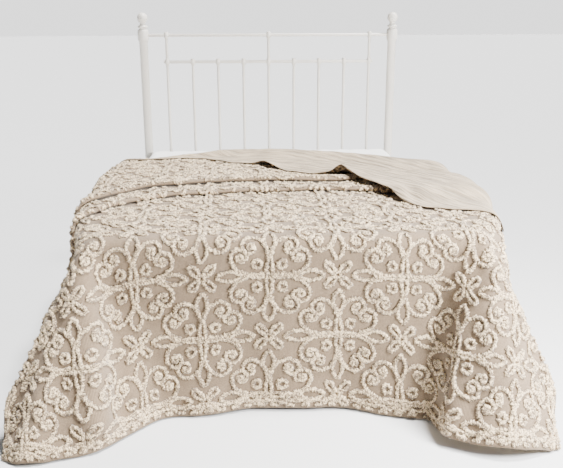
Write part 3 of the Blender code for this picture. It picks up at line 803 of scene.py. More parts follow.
def curl(mirrored):
    """Scroll of one quarter: a spiral whose distance from its middle follows the CURL table."""
    turned_by = np.linspace(0.0, CURL[-1][0], CURL_POINTS)
    knots = column(CURL, CURL_COLUMNS, "turned")
    radius = smooth_through(knots, column(CURL, CURL_COLUMNS, "radius"), turned_by)
    angle = np.radians(CURL_START - turned_by)
    x = CURL_CENTRE[0] - radius * np.cos(angle)
    y = CURL_CENTRE[1] - radius * np.sin(angle)
    return np.stack([y, x] if mirrored else [x, y], axis=-1)


def medallion():
    """Lines of one medallion, in millimetres: leaves, stems, rings and scrolls in four quarters."""
    strokes = []
    for across, along, half_length, half_width, lengthwise in LEAVES:
        for sign in (-1, 1):
            centre = (sign * across, sign * along)
            strokes.append(pointed_oval(centre, half_length, half_width, lengthwise, LEAF_POINTS))
    for half_length, half_width, lengthwise in STEMS:
        strokes.append(pointed_oval((0, 0), half_length, half_width, lengthwise, STEM_POINTS))
    around = np.linspace(0, 2 * np.pi, RING_POINTS)
    ring = np.stack([np.cos(around), np.sin(around)], axis=-1) * RING_RADIUS + RING_CENTRE
    for sign_x in (-1, 1):
        for sign_y in (-1, 1):
            for shape in (ring, curl(False), curl(True)):
                strokes.append(shape * (sign_x, sign_y))
    return strokes


def flower():
    """Lines of the small flower between medallions: four looped petals on the diagonals."""
    p = np.linspace(0, 1, PETAL_POINTS)
    length = PETAL_START + PETAL_LENGTH * np.sin(np.pi * p) ** 2
    width = PETAL_HALF_WIDTH * np.sin(2 * np.pi * p) * np.abs(np.sin(np.pi * p)) ** PETAL_ROUNDNESS
    strokes = []
    for quarter in range(4):
        turn = math.radians(45 + 90 * quarter)
        x = length * math.cos(turn) - width * math.sin(turn)
        y = length * math.sin(turn) + width * math.cos(turn)
        strokes.append(np.stack([x, y], axis=-1))
    return strokes


def even_pitch(stroke, pitch):
    """The same line with points at an even pitch, and its direction at each."""
    steps = np.linalg.norm(np.diff(stroke, axis=0), axis=1)
    reach = np.concatenate([[0.0], np.cumsum(steps)])
    count = max(int(round(reach[-1] / pitch)), 3)
    at = np.linspace(0, reach[-1], count + 1)
    line = np.stack([np.interp(at, reach, stroke[:, k]) for k in range(2)], axis=-1)
    heading = np.gradient(line, axis=0)
    heading /= np.maximum(np.linalg.norm(heading, axis=1, keepdims=True), 1e-9)
    return line, heading


def border_strokes():
    """Two gently waved lines inside each side hem and the foot hem, in metres on the flat cloth."""
    strokes = []
    half = SPREAD_WIDTH / 2
    for inset in BORDER_ROWS:
        along = np.linspace(inset, SPREAD_LENGTH, BORDER_SIDE_POINTS)
        wave = BORDER_WAVE * np.sin(2 * np.pi * along / BORDER_WAVE_LENGTH + 40 * inset)
        for sign in (-1, 1):
            strokes.append(np.stack([sign * (half - inset - wave), along], axis=-1))
        across = np.linspace(-half + inset, half - inset, BORDER_FOOT_POINTS)
        wave = BORDER_WAVE * np.sin(2 * np.pi * across / BORDER_WAVE_LENGTH + 60 * inset)
        strokes.append(np.stack([across, inset + wave], axis=-1))
    return strokes


def all_strokes(looks):
    """Every tufted line on the flat cloth: points, headings, and the number of its stroke."""
    half_across = looks.repeat_across / 2
    half_along = looks.repeat_along / 2
    scale = np.array([looks.repeat_across / CHART_ACROSS, looks.repeat_along / CHART_ALONG])
    motifs = [[even_pitch(stroke * scale, looks.line_pitch) for stroke in shapes]
              for shapes in (medallion(), flower())]
    cells_beside = int(CHART_REACH / half_across) + 1
    cells_headward = int(SPREAD_LENGTH / half_along)
    placed = []
    for i in range(-cells_beside, cells_beside + 1):
        for j in range(-CELLS_BEFORE, cells_headward + 1):
            centre = (looks.first_across + i * half_across, looks.first_along + j * half_along)
            placed += [(line + centre, heading) for line, heading in motifs[(i + j) % 2]]
    placed += [even_pitch(stroke, looks.line_pitch) for stroke in border_strokes()]
    numbers = np.repeat(np.arange(len(placed)), [len(line) for line, _ in placed])
    points, headings = (np.concatenate(arrays) for arrays in zip(*placed))
    return points, headings, numbers


def line_areas(points, numbers):
    """Area of the cloth, by its place in AREAS, that each point's line has its middle in.

    The border lines come last: three for each border row.
    """
    border = numbers >= numbers.max() - 3 * len(BORDER_ROWS) + 1
    count = np.bincount(numbers)
    middle_s = (np.bincount(numbers, points[:, 0]) / count)[numbers]
    middle_t = (np.bincount(numbers, points[:, 1]) / count)[numbers]
    area = np.full(len(points), AREAS.index("top"))
    area[middle_s > SIDE_START] = AREAS.index("right")
    area[middle_s < -SIDE_START] = AREAS.index("left")
    area[middle_t < FOOT_DROP] = AREAS.index("foot")
    area[border] = AREAS.index("border")
    return area


def mesh_piece(name, points, faces, uv=None):
    """Object at the origin from arrays: points, rings of point numbers per face, and its map."""
    sizes = np.concatenate([np.full(len(rows), rows.shape[1]) for rows in faces])
    corners = np.concatenate([rows.ravel() for rows in faces])
    mesh = bpy.data.meshes.new(name)
    mesh.vertices.add(len(points))
    mesh.vertices.foreach_set("co", points.astype(np.float32).ravel())
    mesh.loops.add(len(corners))
    mesh.loops.foreach_set("vertex_index", corners.astype(np.int32))
    mesh.polygons.add(len(sizes))
    starts = np.concatenate([[0], np.cumsum(sizes)[:-1]])
    mesh.polygons.foreach_set("loop_start", starts.astype(np.int32))
    mesh.polygons.foreach_set("loop_total", sizes.astype(np.int32))
    mesh.polygons.foreach_set("use_smooth", np.ones(len(sizes), dtype=bool))
    if uv is not None:
        layer = mesh.uv_layers.new(name="flat")
        layer.data.foreach_set("uv", uv[corners].astype(np.float32).ravel())
    mesh.update(calc_edges=True)
    piece = bpy.data.objects.new(name, mesh)
    bpy.context.scene.collection.objects.link(piece)
    return piece


def grid_faces(rows, columns, first=0):
    """Four-sided faces over a grid of points numbered row by row."""
    i, j = np.meshgrid(np.arange(rows - 1), np.arange(columns - 1), indexing="ij")
    a = (first + i * columns + j).ravel()
    return np.stack([a, a + columns, a + columns + 1, a + 1], axis=-1)


def band_faces(rings, next_rings, sides):
    """Four-sided faces from each ring of points to the one after it, all the way round.

    Each ring is given by the number of its first point.
    """
    low, high = rings[:, None], next_rings[:, None]
    j = np.arange(sides)
    after = (j + 1) % sides
    return np.stack([low + j, low + after, high + after, high + j], axis=-1).reshape(-1, 4)


def tufted_lines(name, table, points, headings, numbers, looks, rng):
    """One piece of tufting: an arched section carried along every line on the cloth.

    Each point is the line's place on the cloth, plus the section's first number times half the
    width sideways, plus its second number times the height outward. Width and height swell and
    shrink from ring to ring, which makes the row of tufts. The map holds a chance number and the
    section's second number; the yarn's material paints shade low on the section and a highlight on top.
    """
    s, t = points[:, 0], points[:, 1]
    here = carry(table, s, t)
    step = looks.line_pitch / 2
    ahead = carry(table, s + headings[:, 0] * step, t + headings[:, 1] * step)[:, :3]
    behind = carry(table, s - headings[:, 0] * step, t - headings[:, 1] * step)[:, :3]
    along = ahead - behind
    along /= np.maximum(np.linalg.norm(along, axis=1, keepdims=True), 1e-9)
    up = here[:, 3:6] / np.maximum(np.linalg.norm(here[:, 3:6], axis=1, keepdims=True), 1e-9)
    sideways = np.cross(along, up)
    count = len(points)
    alternate = np.where(np.arange(count) % 2 == 0, 1.0, -1.0)
    width = 1 + WIDTH_BEAT * alternate + rng.uniform(-WIDTH_SPREAD, WIDTH_SPREAD, count)
    width = looks.line_width / 2 * width
    height = 1 + HEIGHT_BEAT * alternate + rng.uniform(-HEIGHT_SPREAD, HEIGHT_SPREAD, count)
    height = looks.line_height * height
    sway = rng.uniform(-TUFT_SWAY, TUFT_SWAY, count)
    link_length = np.linalg.norm(np.diff(points, axis=0), axis=1)
    linked = (numbers[1:] == numbers[:-1]) & (link_length < LONGEST_LINK * looks.line_pitch)
    first = np.concatenate([[True], ~linked])
    last = np.concatenate([~linked, [True]])
    ends = np.where(first | last, END_SHARE, 1.0)
    section = np.array(LINE_SECTION)
    out = section[None, :, 0] * (width * ends)[:, None] + sway[:, None]
    rise = section[None, :, 1] * (height * ends)[:, None] + LINE_LIFT
    out = out + rng.uniform(-OUT_SPREAD, OUT_SPREAD, out.shape)
    rise = rise + rng.uniform(-RISE_SPREAD, RISE_SPREAD, rise.shape) * (section[None, :, 1] > 0)
    rings = here[:, None, :3] + sideways[:, None] * out[..., None] + up[:, None] * rise[..., None]
    rings[..., 2] = np.maximum(rings[..., 2], TUFT_FLOOR)
    sides = len(section)
    speckle = rng.uniform(0, 1, out.shape)
    uv = np.stack(np.broadcast_arrays(speckle, section[None, :, 1]), axis=-1)
    link = np.flatnonzero(linked) * sides
    j = np.arange(sides)
    starts = np.flatnonzero(first)[:, None] * sides + j[::-1]
    finishes = np.flatnonzero(last)[:, None] * sides + j
    faces = [band_faces(link, link + sides, sides), starts, finishes]
    return mesh_piece(name, rings.reshape(-1, 3), faces, uv.reshape(-1, 2))


class Value:
    """One shader value. Arithmetic on it adds Math nodes, with a number on either side."""

    def __init__(self, nodes, socket):
        self.nodes = nodes
        self.socket = socket

    def math(self, operation, first, second=0.0):
        """Result of one Math node."""
        return self.nodes.node("ShaderNodeMath", {"operation": operation}, {0: first, 1: second})

    def __add__(self, other):
        return self.math("ADD", self, other)

    __radd__ = __add__

    def __sub__(self, other):
        return self.math("SUBTRACT", self, other)

    def __rsub__(self, other):
        return self.math("SUBTRACT", other, self)

    def __mul__(self, other):
        return self.math("MULTIPLY", self, other)

    __rmul__ = __mul__

    def sine(self):
        return self.math("SINE", self)

    def share(self):
        """The same value, kept between 0 and 1."""
        return self.math("MINIMUM", self.math("MAXIMUM", self, 0.0), 1.0)


class Nodes:
    """A node tree under construction: one method adds any node and links it."""

    def __init__(self, tree):
        self.tree = tree
        tree.nodes.clear()

    def node(self, kind, settings, sockets, output=0):
        """One output of a new node; its sockets take numbers, colours or other values."""
        made = self.tree.nodes.new(kind)
        for name, value in settings.items():
            setattr(made, name, value)
        for key, value in sockets.items():
            if isinstance(value, Value):
                self.tree.links.new(value.socket, made.inputs[key])
            else:
                made.inputs[key].default_value = value
        return Value(self, made.outputs[output])

    def carried(self, value, before, after):
        """Value carried from one range to another, level beyond both ends."""
        return self.node("ShaderNodeMapRange", {}, {
            "Value": value, "From Min": before[0], "From Max": before[1],
            "To Min": after[0], "To Max": after[1]}, "Result")

    def end_in(self, kind, shader):
        """Output node of the tree, fed by the shader."""
        output = self.tree.nodes.new(kind)
        self.tree.links.new(shader.socket, output.inputs["Surface"])


class Finish(Nodes):
    """A material under construction."""

    def __init__(self, name):
        self.material = bpy.data.materials.new(name)
        self.material.use_nodes = True
        super().__init__(self.material.node_tree)

    def place(self):
        """Object coordinates, in metres."""
        return self.node("ShaderNodeTexCoord", {}, {}, "Object")

    def flat_map(self):
        """The two numbers of the piece's own map."""
        flat = self.node("ShaderNodeUVMap", {"uv_map": "flat"}, {}, "UV")
        return (self.node("ShaderNodeSeparateXYZ", {}, {0: flat}, 0),
                self.node("ShaderNodeSeparateXYZ", {}, {0: flat}, 1))

    def noise(self, vector, scale, detail=2.0, roughness=0.5):
        """Noise between 0 and 1; on object coordinates the scale is in spots to a metre."""
        return self.node("ShaderNodeTexNoise", {}, {
            "Vector": vector, "Scale": scale, "Detail": detail, "Roughness": roughness})

    def mix(self, share, first, second):
        """Colour that goes from the first to the second as the share goes from 0 to 1."""
        return self.node("ShaderNodeMix", {"data_type": "RGBA"}, {0: share, 6: first, 7: second}, 2)

    def shades(self, tone, color, darker, lighter):
        """One colour, darkened where the tone is 0 and lightened where it is 1."""
        return self.mix(tone.share(), solid_color(color, darker), solid_color(color, lighter))

    def shade(self, **sockets):
        """Principled shader as the material's surface; socket names have underscores for spaces."""
        named = {name.replace("_", " "): value for name, value in sockets.items()}
        shader = self.node("ShaderNodeBsdfPrincipled", {}, named, "BSDF")
        self.end_in("ShaderNodeOutputMaterial", shader)
        return self.material

    def relief(self, height, distance, strength=1.0):
        """Normal of a surface that rises by the distance where the height is 1."""
        return self.node("ShaderNodeBump", {}, {"Height": height, "Distance": distance,
                                                "Strength": strength}, "Normal")


def solid_color(color, factor=1.0):
    """Four numbers of a colour, scaled in brightness."""
    return (color[0] * factor, color[1] * factor, color[2] * factor, 1.0)


def woven_ground(looks):
    """Ribbed cotton ground: fine lengthwise ribs, finer picks across them, and uneven yarns."""
    finish = Finish("ribbed cotton ground")
    across, along = finish.flat_map()
    place = finish.place()
    broad = finish.noise(place, 7.0, 2.0)
    yarn = finish.noise(place, 210.0, 3.0, 0.65)
    rib = (across * (2 * math.pi / looks.rib_pitch) + broad * 1.5).sine()
    pick = (along * (2 * math.pi / (looks.rib_pitch * 0.55))).sine()
    weave = rib * 0.5 + pick * 0.18 + yarn * 0.6
    tone = (broad - 0.5) * 0.9 + rib * 0.22 + (yarn - 0.5) * 2.4 + 0.5
    color = finish.shades(tone, looks.ground_color, 0.68, 1.28)
    return finish.shade(Base_Color=color, Roughness=0.95, Sheen_Weight=0.15,
                        Normal=finish.relief(weave, 0.0009, 0.8))


def woven_reverse(looks):
    """Reverse of the cloth: paler, with long crosswise crinkles and fine yarns."""
    finish = Finish("cotton reverse")
    across, along = finish.flat_map()
    place = finish.place()
    broad = finish.noise(place, 9.0, 3.0)
    yarn = finish.noise(place, 300.0, 2.0)
    stretched = finish.node("ShaderNodeCombineXYZ", {}, {0: across * 5.0, 1: along * 34.0})
    crinkle = finish.noise(stretched, 1.0, 3.0, 0.6)
    tone = (broad - 0.5) * 1.0 + (crinkle - 0.5) * 4.5 + (yarn - 0.5) * 0.7 + 0.5
    color = finish.shades(tone, looks.reverse_color, 0.66, 1.18)
    return finish.shade(Base_Color=color, Roughness=0.95, Sheen_Weight=0.15,
                        Normal=finish.relief(crinkle * 4.0 + yarn * 0.3, 0.0100, 1.0))


def chenille_yarn(looks):
    """Ivory chenille with fine fibre: painted highlight on the tuft crowns, painted shade between tufts
    and at roots.
    """
    finish = Finish("ivory chenille yarn")
    speckle, height_share = finish.flat_map()
    place = finish.place()
    tuft = finish.node("ShaderNodeTexVoronoi", {}, {"Vector": place, "Scale": 230.0}, "Distance")
    fibre = finish.noise(place, 240.0, 3.0, 0.7)
    height = (1.0 - tuft) * 0.9 + fibre * 0.6
    # Tone: painted shade between the tufts and toward the roots, painted highlight on the crowns; fibre
    # and speckle are chance variation
    tone = (0.5 - tuft) * 1.7 + (fibre - 0.5) * 4.0 + (speckle - 0.5) * 1.7 + height_share * 0.6
    # Painted shade colour at the roots and in the hollows, the yarn's own colour on the lit crowns
    color = finish.mix(tone.share(), solid_color(looks.shadow_color), solid_color(looks.yarn_color))
    return finish.shade(Base_Color=color, Roughness=0.95, Sheen_Weight=0.3,
                        Normal=finish.relief(height, 0.005, 1.0))


def plain_cloth(name, color, quilt):
    """Plain woven cover with soft quilted swells."""
    finish = Finish(name)
    place = finish.place()
    swell = finish.noise(place, quilt, 1.0)
    yarn = finish.noise(place, 420.0, 2.0)
    tone = (swell - 0.5) * 0.6 + (yarn - 0.5) * 0.6 + 0.5
    mixed = finish.shades(tone, color, 0.93, 1.04)
    return finish.shade(Base_Color=mixed, Roughness=0.9, Sheen_Weight=0.1,
                        Normal=finish.relief(swell * 6.0 + yarn * 0.25, 0.003, 0.6))


def tube_paint(name, color, roughness):
    """Enamel on metal tube: broad faint swells, uneven gloss and tiny pits."""
    finish = Finish(name)
    place = finish.place()
    broad = finish.noise(place, 14.0, 3.0)
    fine = finish.noise(place, 350.0, 2.0)
    tone = (broad - 0.5) * 0.9 + (fine - 0.5) * 0.25 + 0.5
    mixed = finish.shades(tone, color, 0.93, 1.04)
    rough = (broad - 0.5) * 0.25 + roughness
    return finish.shade(Base_Color=mixed, Roughness=rough,
                        Normal=finish.relief(broad + fine * 0.15, 0.0006, 0.5))


def rounded_box(size, centre, radius, spacing, arc_steps):
    """Closed box with rounded edges: each grid point goes to the nearest point of a smaller box,
    plus the radius along the direction from there to where it started.
    """
    inner = np.array(size) / 2 - radius
    arc = radius * np.tan(np.linspace(0, math.pi / 4, arc_steps + 1)[1:])
    lines = []
    for half in inner:
        count = max(int(math.ceil(2 * half / spacing)), 1) + 1
        flat = np.linspace(-half, half, count)
        lines.append(np.concatenate([-half - arc[::-1], flat, half + arc]))
    points, faces, first = [], [], 0
    for axis in range(3):
        u_axis, v_axis = (axis + 1) % 3, (axis + 2) % 3
        for sign in (-1, 1):
            u, v = np.meshgrid(lines[u_axis][::sign], lines[v_axis], indexing="ij")
            grid = np.empty(u.shape + (3,))
            grid[..., axis] = sign * (inner[axis] + radius)
            grid[..., u_axis] = u
            grid[..., v_axis] = v
            points.append(grid.reshape(-1, 3))
            faces.append(grid_faces(*u.shape, first))
            first += u.size
    points = np.concatenate(points)
    faces = np.concatenate(faces)
    points, same = np.unique(np.round(points, 6), axis=0, return_inverse=True)
    faces = same.reshape(-1)[faces]
    nearest = np.clip(points, -inner, inner)
    away = points - nearest
    away *= radius / np.linalg.norm(away, axis=1, keepdims=True)
    return nearest + away + np.array(centre), [faces]


def turned(profile, start, direction, steps=TURNED_STEPS):
    """Surface of revolution: a ring of each row's radius at its height along the axis, ends closed."""
    heights, radii = np.array(profile).T
    axis = np.array(direction, dtype=float)
    axis /= np.linalg.norm(axis)
    helper = np.array([1.0, 0.0, 0.0]) if abs(axis[2]) > 0.5 else np.array([0.0, 0.0, 1.0])
    first = np.cross(helper, axis)
    second = np.cross(axis, first)
    turn = np.arange(steps) * 2 * np.pi / steps
    ring = np.cos(turn)[:, None] * first + np.sin(turn)[:, None] * second
    points = np.array(start) + heights[:, None, None] * axis + radii[:, None, None] * ring[None]
    rings = np.arange(len(heights) - 1) * steps
    faces = band_faces(rings, rings + steps, steps)
    low = np.arange(steps)[::-1][None, :]
    high = ((len(heights) - 1) * steps + np.arange(steps))[None, :]
    return points.reshape(-1, 3), [faces, low, high]


def tube(start, end, radius):
    """Straight tube with lightly rounded closed ends, as a surface of revolution."""
    start, end = np.array(start), np.array(end)
    length = np.linalg.norm(end - start)
    edge = radius * 0.2
    profile = ((0.0, radius - edge), (edge * 0.3, radius - edge * 0.3), (edge, radius),
               (length - edge, radius), (length - edge * 0.3, radius - edge * 0.3),
               (length, radius - edge))
    return turned(profile, start, end - start)


def joined(parts):
    """Points and faces of several closed surfaces as one set."""
    points, faces, first = [], [], 0
    for part_points, part_faces in parts:
        points.append(part_points)
        faces += [rows + first for rows in part_faces]
        first += len(part_points)
    return np.concatenate(points), faces


def piping(size, centre, height, corner, radius):
    """Cord run round a rounded rectangle: a circle carried along the outline."""
    half = np.array(size[:2]) / 2 - corner
    around = np.linspace(0, 2 * np.pi, PIPING_AROUND, endpoint=False)
    corner_x = np.sign(np.cos(around)) * half[0] + np.cos(around) * corner
    corner_y = np.sign(np.sin(around)) * half[1] + np.sin(around) * corner
    line = np.stack([corner_x, corner_y], axis=-1)
    outward = np.stack([np.cos(around), np.sin(around)], axis=-1)
    turn = np.arange(PIPING_SIDES) * 2 * np.pi / PIPING_SIDES
    points = np.empty((len(line), len(turn), 3))
    points[..., :2] = line[:, None] + outward[:, None] * (radius * np.cos(turn))[None, :, None]
    points[..., 2] = radius * np.sin(turn)[None]
    points += np.array([centre[0], centre[1], height])
    rings = np.arange(PIPING_AROUND) * PIPING_SIDES
    return points.reshape(-1, 3), [band_faces(np.roll(rings, -1), rings, PIPING_SIDES)]


def quilted(points, top, centre):
    """Shallow diamond quilting pressed into the flat top: a smooth dip along each stitch line."""
    x, y = points[:, 0] - centre[0], points[:, 1] - centre[1]
    depth = np.zeros(len(points))
    for across in (x + y, x - y):
        off = np.abs((across / QUILT_STEP) % 1.0 - 0.5) * QUILT_STEP
        depth = np.maximum(depth, np.exp(-((0.5 * QUILT_STEP - off) / QUILT_STITCH) ** 2))
    on_top = smooth_step(points[:, 2], top - QUILT_EDGE, top)
    points[:, 2] -= QUILT_DEPTH * depth * on_top
    return points


def finish_piece(piece, material, slot, *nodes):
    """Give a piece its material and its body, and hide the CAD nodes it stands for; the slot is not
    used.
    """
    piece.data.materials.append(material)
    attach(piece, "root")
    if nodes:
        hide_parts(*nodes)
    return piece


class ClothSettings(PropertyGroup):
    """Sizes and colours of the bedspread."""

    repeat_across: FloatProperty(
        name="Repeat across", description="Width of one repeat of the tufting",
        default=0.524, min=0.2, max=1.5, unit="LENGTH")
    repeat_along: FloatProperty(
        name="Repeat along", description="Length of one repeat of the tufting",
        default=0.506, min=0.2, max=1.5, unit="LENGTH")
    first_across: FloatProperty(
        name="First medallion across", description="Place of one medallion from the middle of the cloth",
        default=-0.070, min=-1.0, max=1.0, unit="LENGTH")
    first_along: FloatProperty(
        name="First medallion along", description="Place of the same medallion from the foot hem",
        default=0.563, min=-1.0, max=1.0, unit="LENGTH")
    line_width: FloatProperty(
        name="Line width", description="Width of a tufted line",
        default=0.0175, min=0.005, max=0.04, unit="LENGTH")
    line_height: FloatProperty(
        name="Line height", description="Height of a tufted line over the cloth",
        default=0.0080, min=0.002, max=0.02, unit="LENGTH")
    line_pitch: FloatProperty(
        name="Line pitch", description="Distance from one tuft's crown to the hollow after it",
        default=0.005, min=0.003, max=0.02, unit="LENGTH")
    rib_pitch: FloatProperty(
        name="Rib pitch", description="Distance between the ribs of the ground weave",
        default=0.0045, min=0.001, max=0.02, unit="LENGTH")
    ground_color: FloatVectorProperty(
        name="Ground", description="Colour of the woven ground",
        default=(0.185, 0.130, 0.080), min=0, max=1, subtype="COLOR")
    yarn_color: FloatVectorProperty(
        name="Chenille", description="Colour of the tips of the tufted yarn",
        default=(0.91, 0.695, 0.415), min=0, max=1, subtype="COLOR")
    # Painted shade: dark colour mixed into the yarn toward its roots, standing in for shade deep in the
    # pile
    shadow_color: FloatVectorProperty(
        name="Painted root shade", description="Painted shade of the tufted yarn where it leaves the cloth",
        default=(0.17, 0.115, 0.07), min=0, max=1, subtype="COLOR")
    reverse_color: FloatVectorProperty(
        name="Reverse", description="Colour of the back of the cloth",
        default=(0.42, 0.324, 0.215), min=0, max=1, subtype="COLOR")


class BedSettings(PropertyGroup):
    """Colours of the bed and headboard."""

    ticking_color: FloatVectorProperty(
        name="Mattress", description="Colour of the mattress cloth",
        default=(0.80, 0.79, 0.77), min=0, max=1, subtype="COLOR")
    cover_color: FloatVectorProperty(
        name="Base", description="Colour of the base cover",
        default=(0.74, 0.72, 0.69), min=0, max=1, subtype="COLOR")
    frame_color: FloatVectorProperty(
        name="Rails and legs", description="Colour of the rails and legs",
        default=(0.22, 0.21, 0.20), min=0, max=1, subtype="COLOR")
    board_color: FloatVectorProperty(
        name="Headboard", description="Colour of the headboard's enamel",
        default=(0.66, 0.625, 0.565), min=0, max=1, subtype="COLOR")


class StudioSettings(PropertyGroup):
    """Light and floor around the bed."""

    floor_color: FloatVectorProperty(
        name="Floor", description="Colour of the floor",
        default=(0.60, 0.60, 0.60), min=0, max=1, subtype="COLOR")
    daylight: FloatProperty(
        name="Daylight", description="Strength of the even light from above",
        default=0.24, min=0, max=5)
    horizon: FloatProperty(
        name="Horizon", description="Strength of the paler band behind the bed",
        default=1.95, min=0, max=5)
    overhead_strength: FloatProperty(
        name="Overhead light", description="Strength of the light from above",
        default=13.0, min=0, max=50)
    side_power: FloatProperty(
        name="Side light", description="Power of the large soft lamp to the right of the foot",
        default=425.0, min=0, max=2000, unit="POWER")


class BEDSPREAD_OT_cloth(Operator):
    """Make the draped cloth of the bedspread"""

    bl_idname = "bedspread.make_cloth"
    bl_label = "Cloth"

    def execute(self, context):
        looks = context.scene.bedspread_cloth
        s = np.linspace(-SPREAD_WIDTH / 2, SPREAD_WIDTH / 2, SHEET_THREADS)
        points, reach, _ = drape(rolled_form(), s, SHEET_ROW)
        flat = np.stack([np.broadcast_to(s[:, None], reach.shape), reach], axis=-1)
        cloth = mesh_piece("bedspread_cloth", points.reshape(-1, 3), [grid_faces(*reach.shape)],
                           flat.reshape(-1, 2))
        thicken = cloth.modifiers.new("cloth thickness", "SOLIDIFY")
        thicken.thickness = CLOTH_THICK
        thicken.offset = 0.0
        thicken.use_even_offset = False
        thicken.material_offset = 1
        finish_piece(cloth, woven_ground(looks), "chenille cotton", "bedspread")
        cloth.data.materials.append(woven_reverse(looks))
        return {"FINISHED"}


class BEDSPREAD_OT_tufting(Operator):
    """Make the tufted chenille lines on the cloth"""

    bl_idname = "bedspread.make_tufting"
    bl_label = "Tufted lines"

    def execute(self, context):
        looks = context.scene.bedspread_cloth
        table = cloth_table(rolled_form())
        points, headings, numbers = all_strokes(looks)
        s, t = points[:, 0], points[:, 1]
        half = SPREAD_WIDTH / 2 - HEM_MARGIN
        kept = (np.abs(s) < half) & (t > HEM_MARGIN) & (t < thread_end(table, s) - HEM_MARGIN)
        folded_share = carry(table, s, t)[:, -1]
        kept &= folded_share < 0.5
        area = line_areas(points, numbers)
        rng = np.random.default_rng(TUFT_SEED)
        yarn = chenille_yarn(looks)
        for number, label in enumerate(AREAS):
            chosen = kept & (area == number)
            piece = tufted_lines("chenille_" + label, table, points[chosen], headings[chosen],
                                 numbers[chosen], looks, rng)
            finish_piece(piece, yarn, "chenille cotton")
        return {"FINISHED"}


class BEDSPREAD_OT_mattress(Operator):
    """Make the mattress with its quilted top and piped edges"""

    bl_idname = "bedspread.make_mattress"
    bl_label = "Mattress"

    def execute(self, context):
        looks = context.scene.bedspread_bed
        low, high = np.array(MATTRESS_BOX[0]), np.array(MATTRESS_BOX[1])
        size, centre = high - low, (high + low) / 2
        points, faces = rounded_box(size, centre, BOX_ROUND, BOX_SPACING, BOX_ARC_STEPS)
        points = quilted(points, high[2], centre)
        parts = [(points, faces)]
        for height in (high[2] - PIPING_DROP, low[2] + PIPING_DROP):
            parts.append(piping(size, centre, height, BOX_ROUND, PIPING_RADIUS))
        mattress = mesh_piece("mattress_body", *joined(parts))
        finish_piece(mattress, plain_cloth("white ticking weave", looks.ticking_color, 9.0),
                     "white ticking", "mattress")
        return {"FINISHED"}


class BEDSPREAD_OT_base(Operator):
    """Make the cloth-covered base"""

    bl_idname = "bedspread.make_base"
    bl_label = "Base"

    def execute(self, context):
        looks = context.scene.bedspread_bed
        low, high = np.array(BASE_BOX[0]), np.array(BASE_BOX[1])
        size, centre = high - low, (high + low) / 2
        parts = [rounded_box(size, centre, BASE_ROUND, BASE_SPACING, BASE_ARC_STEPS)]
        for height in (high[2] - BASE_PIPING_DROP, low[2] + BASE_PIPING_DROP):
            parts.append(piping(size, centre, height, BASE_ROUND, BASE_PIPING_RADIUS))
        base = mesh_piece("base_body", *joined(parts))
        finish_piece(base, plain_cloth("base cover weave", looks.cover_color, 5.0), "base cover",
                     "bed_base")
        return {"FINISHED"}


class BEDSPREAD_OT_headboard(Operator):
    """Make the headboard's posts, rails, spindles and turned knobs"""

    bl_idname = "bedspread.make_headboard"
    bl_label = "Headboard"

    def execute(self, context):
        looks = context.scene.bedspread_bed
        enamel = tube_paint("ivory enamel", looks.board_color, 0.42)
        up = (0, 0, 1)
        for label, sign in (("left", -1), ("right", 1)):
            foot = (BED_X + sign * POST_HALF_SPACING, BOARD_Y, 0)
            post = turned(POST_PROFILE, foot, up, POST_STEPS)
            piece = mesh_piece("headboard_post_" + label, *post)
            finish_piece(piece, enamel, "ivory paint", "head_post_" + label)
        numbers = range(-SPINDLES_EACH_SIDE, SPINDLES_EACH_SIDE + 1)
        places = [BED_X + i * SPINDLE_STEP for i in numbers]
        rails = []
        knobs = []
        for half, z in ((POST_HALF_SPACING - COLLAR_RADIUS - TUBE_GAP, TOP_RAIL_Z),
                        (SPINDLES_EACH_SIDE * SPINDLE_STEP + RAIL_OVERHANG, SECOND_RAIL_Z),
                        (POST_HALF_SPACING - POST_RADIUS - TUBE_GAP, LOW_RAIL_Z)):
            rails.append(tube((BED_X - half, BOARD_Y, z), (BED_X + half, BOARD_Y, z), RAIL_RADIUS))
        for x in places[::SPINDLES_EACH_SIDE]:
            knobs.append(turned(KNOB_PROFILE, (x, BOARD_Y, TOP_RAIL_Z), up))
        for x in places:
            knobs.append(turned(KNOB_PROFILE, (x, BOARD_Y, SECOND_RAIL_Z), up))
        piece = mesh_piece("headboard_rails", *joined(rails))
        finish_piece(piece, enamel, "ivory paint", "head_top_rail", "head_second_rail", "head_low_rail")
        piece = mesh_piece("headboard_knobs", *joined(knobs))
        finish_piece(piece, enamel, "ivory paint")
        spindles = []
        for x in places:
            spindles.append(tube((x, BOARD_Y, LOW_RAIL_Z + RAIL_RADIUS + TUBE_GAP),
                                 (x, BOARD_Y, SECOND_RAIL_Z - KNOB_BELOW - TUBE_GAP), SPINDLE_RADIUS))
        for x in places[::SPINDLES_EACH_SIDE]:
            spindles.append(tube((x, BOARD_Y, SECOND_RAIL_Z + KNOB_ABOVE + TUBE_GAP),
                                 (x, BOARD_Y, TOP_RAIL_Z - KNOB_BELOW - TUBE_GAP), SPINDLE_RADIUS))
        piece = mesh_piece("headboard_spindles", *joined(spindles))
        names = ["head_spindle_%02d" % (i + 1) for i in range(len(places))]
        names += ["head_upright_%02d" % (i + 1) for i in range(0, len(places), SPINDLES_EACH_SIDE)]
        finish_piece(piece, enamel, "ivory paint", *names)
        return {"FINISHED"}


class BEDSPREAD_OT_frame_finish(Operator):
    """Paint the rails and legs under the base"""

    bl_idname = "bedspread.finish_frame"
    bl_label = "Rails and legs"

    def execute(self, context):
        looks = context.scene.bedspread_bed
        paint = tube_paint("dark frame enamel", looks.frame_color, 0.5)
        for name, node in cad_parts.items():
            under_rail = "rail" in name and not name.startswith("head_")
            if under_rail or name.startswith("leg_"):
                node.material_slots[0].material = paint
        return {"FINISHED"}


